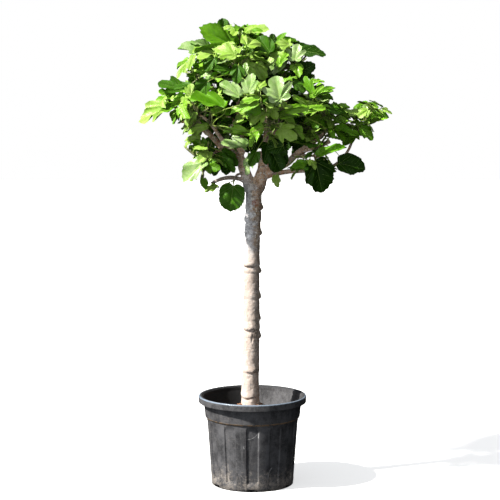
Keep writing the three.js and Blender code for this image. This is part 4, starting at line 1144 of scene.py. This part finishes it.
def crack(points):
    """A short split down the front of the trunk under an old ring, and a small hole beside the ring."""
    x, y, z = points.T
    line = -1 + 2.5 * np.sin(z / 9)
    split = bell(x - line, 3.0) * smooth_step(z, 652, 664) * (1 - smooth_step(z, 690, 706))
    hole = bell(x + 3, 4.5) * bell(z - 716, 4.5)
    return np.where(y < -15, -5.0 * split - 5.0 * hole, 0)


# ---------------------------------------------------------------- leaves

# Half of a blade's outline in shares of its length, along the midrib and out from it, for a plain
# heart-shaped leaf, a three-lobed one and a deeply cut five-lobed one. The points match one another:
# base, three round the lobe at the base, its upper edge, the cut above it, the side lobe's lower
# edge, its tip and upper edge, the next cut, the middle lobe's flank and shoulder, and the tip.
OUTLINES = np.array([
    [(0, 0), (-0.07, 0.06), (-0.11, 0.17), (-0.06, 0.29), (0.04, 0.37), (0.15, 0.42), (0.28, 0.445),
     (0.43, 0.45), (0.57, 0.43), (0.70, 0.385), (0.84, 0.30), (0.95, 0.165), (1, 0)],
    [(0, 0), (-0.07, 0.06), (-0.11, 0.18), (-0.05, 0.30), (0.06, 0.37), (0.17, 0.40), (0.37, 0.50),
     (0.57, 0.53), (0.64, 0.43), (0.56, 0.29), (0.73, 0.30), (0.92, 0.215), (1, 0)],
    [(0, 0), (-0.08, 0.06), (-0.14, 0.20), (-0.10, 0.37), (0.04, 0.42), (0.15, 0.28), (0.33, 0.44),
     (0.58, 0.57), (0.65, 0.45), (0.47, 0.20), (0.66, 0.265), (0.90, 0.235), (1, 0)],
])
# Places along that outline where the blade's rays end: lobes and cuts fall on rays.
RAY_PLACES = np.array([
    *np.linspace(1, 4, 6), *np.linspace(4.6, 7, 5), 7.5, 8, 8.5, 9, 9.4, 9.8, 10.3, 10.8, 11.3, 11.7, 12
])
BASAL_VEIN, SIDE_VEIN, TIP = 4, 10, 21  # the rays that the main veins follow, counted from the base
MAIN_RAYS = [0, BASAL_VEIN, SIDE_VEIN, TIP]
RAYS = 2 * TIP + 1
RINGS = [0.16, 0.34, 0.52, 0.70, 0.86, 1.0]  # shares of the way out from the base
ROUGH_RAYS = [0, 3, 6, 10, 14, 17, 21, 25, 28, 32, 36, 39, 42]  # enough to test a leaf by


def half_outline(lobed, rng):
    """Half of a blade's outline, a point for each ray. lobed is 0 for plain to 1 for five lobes."""
    kind = min(max(lobed, 0), 1) * 2
    low = min(int(kind), 1)
    corners = lerp(OUTLINES[low], OUTLINES[low + 1], kind - low)
    steps = 10
    dense = curve_through(np.column_stack([corners, np.zeros(len(corners))]), steps)
    half = [np.interp(RAY_PLACES * steps, np.arange(len(dense)), dense[:, i]) for i in (0, 1)]
    # A scalloped margin: every other ray ends a little further in.
    ragged = 1 - np.array([lerp(0.01, 0.05, rng.random()) * (ray % 2) for ray in range(TIP + 1)])
    ragged[MAIN_RAYS] = 1
    return np.column_stack(half) * ragged[:, None]


def puffs():
    """How much the blade puffs up between the main veins, for each ray."""
    puff = np.zeros(TIP + 1)
    for a, b in zip(MAIN_RAYS, MAIN_RAYS[1:]):
        inside = np.arange(a, b + 1)
        puff[inside] = np.sin(math.pi * (inside - a) / (b - a)) * (b - a) / 11
    return np.concatenate([puff, puff[:-1][::-1]])


PUFFS = puffs()


class Blade:
    """One leaf: where it sits and how it is shaped. Its surface is a height over a flat outline. root
    is where its stalk leaves the twig, and base is where the stalk meets the blade."""

    def __init__(self, root, base, along, face, length, width, lobed, tint, rng, fold, droop):
        self.root, self.base, self.along, self.face = root, base, along, face
        self.across = np.cross(face, along)
        self.length, self.tint = length, tint
        self.width = width * 1.05
        self.fold, self.droop = fold, droop
        self.curl = lerp(-0.1, 0.4, rng.random())
        self.puff = lerp(0.02, 0.05, rng.random())
        self.wave = lerp(0.02, 0.075, rng.random())
        self.waves = rng.choice((3, 4, 5, 6, 7))
        self.phase = rng.uniform(0, 2 * math.pi)
        self.twist = rng.uniform(-0.12, 0.12)
        left, right = (half_outline(lobed + 0.12 * (rng.random() - 0.5), rng) for _ in range(2))
        self.outline = np.vstack([left, right[:-1][::-1] * (1, -1)])
        self.angles = np.arctan2(self.outline[:, 1], self.outline[:, 0])
        self.reach = np.hypot(*self.outline.T)

    def at(self, u, v, rise=0.0):
        """The place in space of a point on the blade, rise millimetres above its surface."""
        angle = np.arctan2(v, u)
        edge = np.interp(-angle, -self.angles, self.reach)
        ray = np.interp(-angle, -self.angles, np.arange(RAYS))
        s = np.clip(np.hypot(u, v) / np.maximum(edge, 1e-6), 0, 1)
        puff = self.puff * np.interp(ray, np.arange(RAYS), PUFFS) * np.sin(math.pi * np.minimum(s, 0.9) / 1.3)
        wave = self.wave * s**3 * np.sin(self.waves * 2 * math.pi * ray / RAYS + self.phase)
        height = self.fold * np.abs(v) - self.droop * np.maximum(0, u) ** 2 - self.curl * v * v
        height = height + puff * 2 + wave + self.twist * u * v
        return (
            self.base
            + np.multiply.outer(u * self.length, self.along)
            + np.multiply.outer(v * self.length * self.width, self.across)
            + np.multiply.outer(height * self.length + rise, self.face)
        )

    def places(self):
        """The blade's base and then ring after ring of points, RAYS in each, in shares of its length."""
        return np.vstack([np.zeros((1, 2)), *[s * self.outline for s in RINGS]])

    def grid(self, rise=0.0):
        """Those points in space, raised by rise at the base and less and less towards the margin."""
        inside = np.concatenate([[1], *[np.full(RAYS, 1 - s**2) for s in RINGS]])
        return self.at(*self.places().T, rise * inside)

    def inside(self, point, share):
        """Whether a place on the blade is within a share of the way out to the margin."""
        edge = np.interp(-math.atan2(point[1], point[0]), -self.angles, self.reach)
        return math.hypot(*point) < share * edge

    def rough(self):
        """A few triangles for testing the leaf against its neighbours, its petiole included."""
        margin = self.outline[ROUGH_RAYS]
        points = self.at(*np.vstack([[(0, 0)], 0.55 * margin, margin]).T)
        count = len(ROUGH_RAYS)
        k = np.arange(count - 1)
        fan = np.column_stack([np.zeros(count - 1, int), 1 + k, 2 + k])
        low = np.column_stack([1 + k, 1 + count + k, 2 + count + k])
        high = np.column_stack([1 + k, 2 + count + k, 2 + k])
        start = lerp(self.root, self.base, 0.35)
        ribbon = np.array([start, self.base - self.across * 1.5, self.base + self.across * 1.5])
        triangles = np.vstack([fan, low, high, [len(points) + np.arange(3)]])
        return np.vstack([points, ribbon]), triangles

    def petiole(self):
        gap = np.linalg.norm(self.base - self.root)
        way = unit(self.base - self.root)
        out = unit(way + 0.5 * unit(self.base - HEAD_CORE) + 0.35 * UP) * 0.35 * gap
        arriving = unit(self.along + 0.8 * way) * 0.24 * gap
        return bezier([self.root, self.root + out, self.base - arriving, self.base], 9)


def blade_faces():
    """The faces of one layer of a blade, over the points that Blade.grid gives."""
    k = np.arange(RAYS - 1)
    faces = [np.column_stack([np.zeros(RAYS - 1, int), 2 + k, 1 + k])]
    for low in range(1, 1 + (len(RINGS) - 1) * RAYS, RAYS):
        high = low + RAYS
        faces.append(np.column_stack([low + k, low + k + 1, high + k + 1, high + k]))
    return faces


TOP_FACES = blade_faces()
UNDER_FACES = turned_over(TOP_FACES)


def vein_paths(blade):
    """Each vein as its path over the blade and its widths at its two ends."""
    scale = blade.length / 150
    for ray, share, width in ((TIP, 0.97, 2.9), (SIDE_VEIN, 0.92, 2.2), (BASAL_VEIN, 0.85, 1.6)):
        for end in {ray, 2 * TIP - ray}:
            t = np.linspace(0.0, share, 7 if ray == TIP else 6)
            yield np.outer(t, blade.outline[end]), width * scale, 0.5
    for start in SIDE_VEINS:
        for side in (-1, 1):
            way = np.array([SIDE_VEIN_LEAN, side])
            reach = [t for t in np.arange(0.04, 0.5, 0.02) if blade.inside((start, 0) + way * t, 0.93)]
            t = np.linspace(0, max(reach, default=0.04), 4)[:, None]
            yield (start, 0) + way * t, 1.1 * scale, 0.4


def add_veins(heap, blade, kind):
    """Veins that lie level with the upper side and stand out as ridges below."""
    for path, width, end_width in vein_paths(blade):
        legs = np.gradient(path, axis=0)
        side = np.column_stack([-legs[:, 1], legs[:, 0]])
        side /= np.linalg.norm(side, axis=1)[:, None] * blade.length * 2
        widths = np.linspace(width, end_width, len(path))[:, None]
        left, right = path + side * widths, path - side * widths
        depth = -1.3 - 0.7 * widths[:, 0]
        rings = [blade.at(*left.T, 0.35), blade.at(*right.T, 0.35), blade.at(*path.T, depth)]
        [quads] = ring_faces(len(path), 3, capped=False)
        heap.add(np.stack(rings, axis=1).reshape(-1, 3), quads[:, ::-1], kind)


# ---------------------------------------------------------------- growth


def in_the_open(points):
    """Whether any point is in a part of the head that stays open to the sky."""
    x, z, half_width, half_height = np.array(OPEN_SKY, float).T
    across, rise = (points[:, [0]] - x) / half_width, (points[:, [2]] - z) / half_height
    return (across**2 + rise**2 < 1).any()


def hides_a_limb(points):
    """Whether any point is in front of a limb that shows."""
    for start, end, reach in SHOWN_LIMBS:
        start, leg = np.array(start, float), np.subtract(end, start).astype(float)
        offset = points[:, [0, 2]] - start
        share = np.clip(offset @ leg / (leg @ leg), 0, 1)
        away = np.linalg.norm(offset - share[:, None] * leg, axis=1)
        if ((away < reach) & (points[:, 1] < 10)).any():
            return True
    return False


def shades_a_sunlit_place(points):
    """Whether any point lies between the sun and a place that it reaches."""
    for place, reach in SUNLIT:
        offset = points - np.array(place, float)
        towards = offset @ SUNWARD
        away = np.linalg.norm(offset - np.outer(towards, SUNWARD), axis=1)
        if ((towards > 50) & (away < reach)).any():
            return True
    return False


def in_space(points, name, over=0.0):
    """Whether all points lie in a mass's share of the head, or past its border by no more than over."""
    _, centre, reach, _ = MASSES[name]
    middle, radii = DOME if reach is None else (centre, reach)
    points = np.atleast_2d(points)
    if (np.linalg.norm((points - middle) / np.array(radii, float), axis=1) > 1).any() or in_the_open(points):
        return False
    offset = points - np.array(centre, float)
    for other, (_, other_centre, _, _) in MASSES.items():
        if other == name:
            continue
        towards = np.subtract(other_centre, centre).astype(float)
        half = np.linalg.norm(towards) / 2
        if (offset @ (towards / (2 * half)) > half + over).any():
            return False
    return True


def stem_of(name):
    """A mass's stem, in line with its bough's end and then bending towards the mass's centre and past
    it, and how thick it starts."""
    bough, centre, _, shoots = MASSES[name]
    (_, radius), spine = BOUGHS[bough]
    before, start = limb_centres(spine, LIMB_RING_GAP)[-2:]
    past = 0.6 * SHOOT_LENGTH if shoots else 0
    finish = np.array(centre) + unit(np.array(centre) - HEAD_CORE) * past
    bend = start + unit(start - before) * 0.5 * np.linalg.norm(finish - start)
    return spaced(bezier([start, bend, finish], 100), 5), radius


def arched(start, way, length):
    """A twig as three points, its middle sagging a little."""
    middle = start + way * 0.5 * length - UP * 0.08 * length
    return np.array([start, middle, start + way * length])


def leaning(axis, opening, turn):
    """A direction at an angle to an axis, turned round it by turn."""
    return axis * math.cos(opening) + square_to(axis, turn) * math.sin(opening)


def shoot_centres(stem, shoots, index):
    share = (index + 0.5) / shoots
    start, axis = point_along(stem, lerp(0.8, 0.25, share))
    way = leaning(axis, lerp(0.75, 1.7, share), index * GOLDEN_ANGLE)
    return arched(start, unit(way + UP * 0.15), SHOOT_LENGTH)


def side_shoots(shoot, first_turn):
    for number, share in enumerate(SIDE_SHOOTS):
        start, axis = point_along(shoot, share)
        way = leaning(axis, 0.9, first_turn + number * GOLDEN_ANGLE)
        yield arched(start, unit(way + UP * 0.25), SIDE_SHOOT_LENGTH)


def well_hung(base, root, along, face):
    """Whether the petiole meets the blade from behind or below, and not edge on."""
    crest = np.cross(unit(base - root), np.cross(face, along))
    return np.linalg.norm(crest) > 0.6 and crest @ face - crest @ along > 0.3


def shade_tint(base, order, tint):
    """The tint of a leaf that grows at a place: darker in the middle of the head, as painted shade."""
    if np.linalg.norm((base - SHADE_MIDDLE) / SHADE_REACH) > 1:
        return tint
    return "dark" if order % 2 else "deep"


def shoot_leaf(shoot, order, count, attempt, tint, rng):
    """The leaf at place `order` down a shoot (0 at its tip), turned by the golden angle from the last."""
    share = order / (count - 1)
    seat, axis = point_along(shoot, 0.98 - 0.68 * share)
    freedom = attempt / LEAF.tries
    turn = order * GOLDEN_ANGLE + (0.6 + 2.4 * freedom) * 2 * (rng.random() - 0.5)
    opening = lerp(*LEAF.lean, share) + (0.3 + 0.7 * freedom) * 2 * (rng.random() - 0.5)
    way = unit(leaning(axis, opening, turn) + UP * 0.35)
    young = lerp(LEAF.tip_length, 1, share**0.8)
    shrunk = 1 - LEAF.shrinks * freedom
    length = LEAF.length * young * shrunk * (1 + LEAF.spread * (rng.random() - 0.5))
    base = seat + way * lerp(*LEAF.stalk, rng.random()) * length
    outward = unit(base - HEAD_CORE)
    # Blades turn to the light: mostly upwards and outwards, the more so the higher they sit.
    loose = np.array([rng.random() - 0.5 for _ in range(3)]) * 2.1
    face = unit(loose + UP * 0.85 + outward * 0.5 + SUNWARD * 0.45)
    along = way * 0.8 + outward * 0.25 + square_to(face, 2 * math.pi * rng.random()) * 0.45
    along[2] -= lerp(-0.25, 0.45, rng.random())
    along = unit(along - face * (along @ face))
    if not well_hung(base, seat, along, face):
        return None
    lobed = LEAF.most_lobed * rng.random() ** 1.4
    fold, droop = lerp(*LEAF.fold, rng.random()), lerp(*LEAF.droop, rng.random())
    tint = "young" if share < 0.3 and rng.random() < 0.6 else tint
    tint = shade_tint(base, order, tint)
    width = lerp(*LEAF.width, rng.random())
    return Blade(seat, base, along, face, length, width, lobed, tint, rng, fold, droop)


def placed_leaves(row, twigs, rng):
    """The ways a placed leaf can be tied to its mass's twigs, the nearest seats first."""
    _, base, tip, width, lobed, face, tint = row
    base = np.array(base, float)
    along = np.array(tip, float) - base
    length = np.linalg.norm(along)
    along = along / length
    face = unit(np.array(face, float) - along * (np.array(face, float) @ along))
    seats = [point_along(twig, share)[0] for twig in twigs for share in PLACED_SEATS]
    seats.sort(key=lambda seat: np.linalg.norm(seat - base))
    fold, droop = lerp(*PLACED_FOLD, rng.random()), lerp(*PLACED_DROOP, rng.random())
    for attempt in range(PLACED_TRIES):
        rounds, number = divmod(attempt, len(PLACED_SHIFTS))
        moved = base + np.array([0, PLACED_SHIFTS[number], 0.0])
        tilted = turned(face, along, PLACED_TILT * rounds * (-1) ** attempt)
        hung = [seat for seat in seats if well_hung(moved, seat, along, tilted)] or seats[:1]
        for seat in hung[:3]:
            yield Blade(seat, moved, along, tilted, length, width, lobed, tint, rng, fold, droop)


class Crown:
    """All stems, shoots and leaves of the head."""

    def __init__(self):
        self.stems = {name: stem_of(name) for name in MASSES}
        self.twigs = {name: [] for name in MASSES}  # (centres, radii) of shoots, the stem's end first
        self.leaves = {name: [] for name in MASSES}
        self.tested = []  # (low corner, high corner, tree) of each leaf so far
        limbs = Heap()
        for centres, radii, sides in limb_tubes():
            step = 6 if sides == TRUNK.sides else 2
            limbs.add(*tube(centres[::step], radii[::step] + LIMB_ROOM, sides))
        self.limb_tree = limbs.tree()
        wood = Heap()
        for name, (stem, radius) in self.stems.items():
            self.grow_twigs(name)
            wood.add(*tube(stem, np.linspace(radius, STEM_TIP, len(stem)), 6))
            for centres, radii in self.twigs[name][1:]:
                wood.add(*tube(centres, np.linspace(*radii, len(centres)), 5))
        self.wood_tree = wood.tree()
        for number, row in enumerate(PLACED):
            self.place_leaf("leaves_" + row[0], row, random.Random(PLACED_SEED + number))
        for number, name in enumerate(MASSES):
            self.grow_leaves(name, random.Random(FIRST_SEED + number))

    def grow_twigs(self, name):
        stem, _ = self.stems[name]
        shoots = MASSES[name][3]
        twigs = self.twigs[name]
        twigs.append((stem[-3:], (STEM_TIP, STEM_TIP)))
        for index in range(shoots):
            shoot = shoot_centres(stem, shoots, index)
            if not in_space(shoot[1:], name) or self.meets_limbs(shoot, SHOOT_ROOM):
                continue
            twigs.append((shoot, SHOOT_RADII))
            for side in side_shoots(shoot, index * GOLDEN_ANGLE):
                if in_space(side[1:], name) and not self.meets_limbs(side, SIDE_SHOOT_ROOM):
                    twigs.append((side, SIDE_SHOOT_RADII))

    def meets_limbs(self, chain, room):
        """Whether a twig comes within room of a limb's surface, its foot aside."""
        for point in spaced(chain, 8)[2:]:
            _, _, _, distance = self.limb_tree.find_nearest(Vector(point * MM))
            if distance / MM < room:
                return True
        return False

    def try_leaf(self, name, blade, by_rule):
        """Adds a leaf unless it leaves its space or touches wood or another leaf."""
        points, triangles = blade.rough()
        if by_rule:
            if not in_space(points[1:-3], name, LEAF.cross_border):
                return False
            if hides_a_limb(points) or shades_a_sunlit_place(points):
                return False
        low, high = points.min(0), points.max(0)
        tree = BVHTree.FromPolygons([tuple(p) for p in points * MM], triangles.tolist())
        if tree.overlap(self.limb_tree) or tree.overlap(self.wood_tree):
            return False
        for other_low, other_high, other in self.tested:
            if (low < other_high).all() and (other_low < high).all() and tree.overlap(other):
                return False
        self.tested.append((low, high, tree))
        self.leaves[name].append(blade)
        return True

    def place_leaf(self, name, row, rng):
        twigs = [self.stems[name][0], *[centres for centres, _ in self.twigs[name]]]
        for blade in placed_leaves(row, twigs, rng):
            if self.try_leaf(name, blade, by_rule=False):
                break

    def grow_leaves(self, name, rng):
        for centres, radii in self.twigs[name]:
            count = LEAF.per_side_shoot if radii == SIDE_SHOOT_RADII else LEAF.per_shoot
            tint = rng.choices(list(TINTS), TINT_SHARES.get(name, TINT_SHARES["elsewhere"]))[0]
            for order in range(count):
                for attempt in range(LEAF.tries):
                    blade = shoot_leaf(centres, order, count, attempt, tint, rng)
                    if blade is not None and self.try_leaf(name, blade, by_rule=True):
                        break


# ---------------------------------------------------------------- foliage

BARK_KIND, BUD_KIND = 0, 1


def add_shoot(heap, centres, radii):
    """A young shoot with the rings of its leaf seats and a pointed bud at its tip."""
    length = np.linalg.norm(np.diff(centres, axis=0), axis=1).sum()
    count = 14
    chain = spaced(bezier(centres, 40), count)
    width = lerp(*radii, np.linspace(0, 1, count)) + 0.5 * (np.arange(count) % 3 == 1)
    heap.add(*tube(chain, width, 8), BARK_KIND)
    axis = unit(chain[-1] - chain[-2]) * (3.4 * radii[1] + 0.02 * length)
    bud = chain[-1] + np.outer([-0.1, 0.15, 0.5, 0.8, 1.0], axis)
    heap.add(*tube(bud, np.array([0.8, 1.0, 0.75, 0.35, 0.06]) * radii[1], 8), BUD_KIND)


GROUPS = {
    "top": ["leaves_top", "leaves_upper_right", "leaves_upper_back"],
    "upper": ["leaves_upper_left", "leaves_upper_front"],
    "left": ["leaves_left", "leaves_front_left", "leaves_low_left", "leaves_low_middle"],
    "right": ["leaves_front", "leaves_right", "leaves_far_right", "leaves_low_right"],
    "back": ["leaves_back", "leaves_back_right"],
}


def make_foliage(crown):
    order = list(TINTS)
    materials = [leaf_look(f"leaf {tint}", *TINTS[tint]) for tint in order]
    materials.append(leaf_look("leaf under", *UNDERSIDE))
    fine = {name: Heap() for name in FINE_LOOKS}
    for group, names in GROUPS.items():
        blades = Heap()
        for blade in (blade for name in names for blade in crown.leaves[name]):
            places = blade.places()
            blades.add(blade.grid(), TOP_FACES, order.index(blade.tint), places)
            blades.add(blade.grid(-LEAF.thickness), UNDER_FACES, len(order), places)
            add_veins(fine["veins"], blade, 1 if blade.tint in DULL_TINTS else 0)
            stalk = blade.petiole()
            radii = np.linspace(*PETIOLE_RADII, len(stalk)) * lerp(0.7, 1, blade.length / LEAF.length)
            fine["petioles"].add(*tube(stalk, radii, 6))
        for twig in (twig for name in names for twig in crown.twigs[name]):
            add_shoot(fine["shoots"], *twig)
        add_piece(f"blades_{group}", blades, materials, names)
    for name, heap in fine.items():
        looks = [mottled_look(*look) for look in FINE_LOOKS[name]]
        add_piece(name, heap, looks, list(MASSES))


# ---------------------------------------------------------------- floor, light and camera

SKY_GLOW = (-0.55, -0.5, 0.67)  # the way to the sky's brightest part
SKY_COLOUR = (0.91, 0.95, 1.0, 1)
WHITE = (1, 1, 1, 1)
FLOOR_COLOUR = (0.8, 0.8, 0.8)
FILL_FROM, FILL_AT = (-900, -5100, 1150), (30, 0, 1490)
CAMERA = SimpleNamespace(distance=6500, height=1700, side=-11.5, pitch=5.44, focal_px=1428, frame_px=500)


def make_floor():
    half = 30.0
    corners = [(x * half, y * half, 0) for x, y in ((-1, -1), (1, -1), (1, 1), (-1, 1))]
    mesh = bpy.data.meshes.new("floor")
    mesh.from_pydata(corners, [], [(0, 1, 2, 3)])
    look = Look("floor", FLOOR_COLOUR, 0.9, 0.1)
    look.shader.inputs["Emission Color"].default_value = WHITE
    # Painted shade: dark and without a glow under the pot, so that its slots stay dark.
    away = look.length(look.where)
    foot = POT.foot * MM
    look.link("Emission Strength", look.between(away, foot, foot + 0.005, 0.0, 0.62))
    look.painted = (0.02, 0.02, 0.02)
    look.paint(FLOOR_COLOUR, look.between(away, foot, foot + 0.005))
    mesh.materials.append(look.material)
    # The floor is seen and shaded, but throws no light up: plants stand on dark ground.
    ground = in_scene("floor", mesh)
    ground.visible_diffuse = False
    ground.visible_glossy = False


def add_lamp(name, kind, backwards, **settings):
    """A lamp. backwards is the way from what it shines on to the lamp."""
    light = bpy.data.lights.new(name, kind)
    for key, value in settings.items():
        setattr(light, key, value)
    lamp = in_scene(name, light)
    lamp.rotation_euler = backwards.to_track_quat("Z", "Y").to_euler()
    return lamp


def make_lamps():
    add_lamp("key", "SUN", Vector(SUNWARD), energy=8.3, angle=math.radians(2), color=(1.0, 0.965, 0.91))
    # A soft fill from the front lifts the shade under the head, where the trunk forks.
    soft = {"energy": 210, "shadow_soft_size": 0.6, "spot_size": math.radians(15), "spot_blend": 1.0}
    fill = add_lamp("fill", "SPOT", Vector(FILL_FROM) - Vector(FILL_AT), **soft)
    fill.location = Vector(FILL_FROM) * MM


def make_sky():
    """White to the camera. Its light is strongest round the sun and dies away towards the ground on
    the far side."""
    world = bpy.data.worlds.new("studio")
    world.use_nodes = True
    sky = Nodes(world.node_tree, "Generated")
    bearing = sky.vector_maths("DOT_PRODUCT", sky.where, unit(SKY_GLOW)).outputs["Value"]
    fall_off = {"Value": bearing, "From Min": -0.25, "From Max": 1.0, "To Min": 0.018, "To Max": 0.7}
    glow = sky.node("ShaderNodeMapRange", fall_off).outputs["Result"]
    light = sky.node("ShaderNodeBackground", {"Color": SKY_COLOUR, "Strength": glow}).outputs[0]
    backdrop = sky.node("ShaderNodeBackground", {"Color": WHITE}).outputs[0]
    seen = sky.node("ShaderNodeLightPath").outputs["Is Camera Ray"]
    surface = sky.node("ShaderNodeMixShader", {0: seen, 1: light, 2: backdrop}).outputs[0]
    sky.tree.links.new(surface, sky.tree.nodes["World Output"].inputs["Surface"])
    bpy.context.scene.world = world
    bpy.context.scene.view_settings.view_transform = "Standard"


def make_camera():
    camera = bpy.data.cameras.new("camera")
    camera.sensor_width = 36
    camera.lens = CAMERA.focal_px / CAMERA.frame_px * camera.sensor_width
    holder = in_scene("camera", camera)
    holder.location = Vector((CAMERA.side, -CAMERA.distance, CAMERA.height)) * MM
    holder.rotation_euler = (math.radians(90 - CAMERA.pitch), 0, 0)
    bpy.context.scene.camera = holder


# ---------------------------------------------------------------- everything together

crown = Crown()
make_pot()
make_soil()
make_wood(crown.stems.values())
make_foliage(crown)
make_floor()
make_lamps()
make_sky()
make_camera()
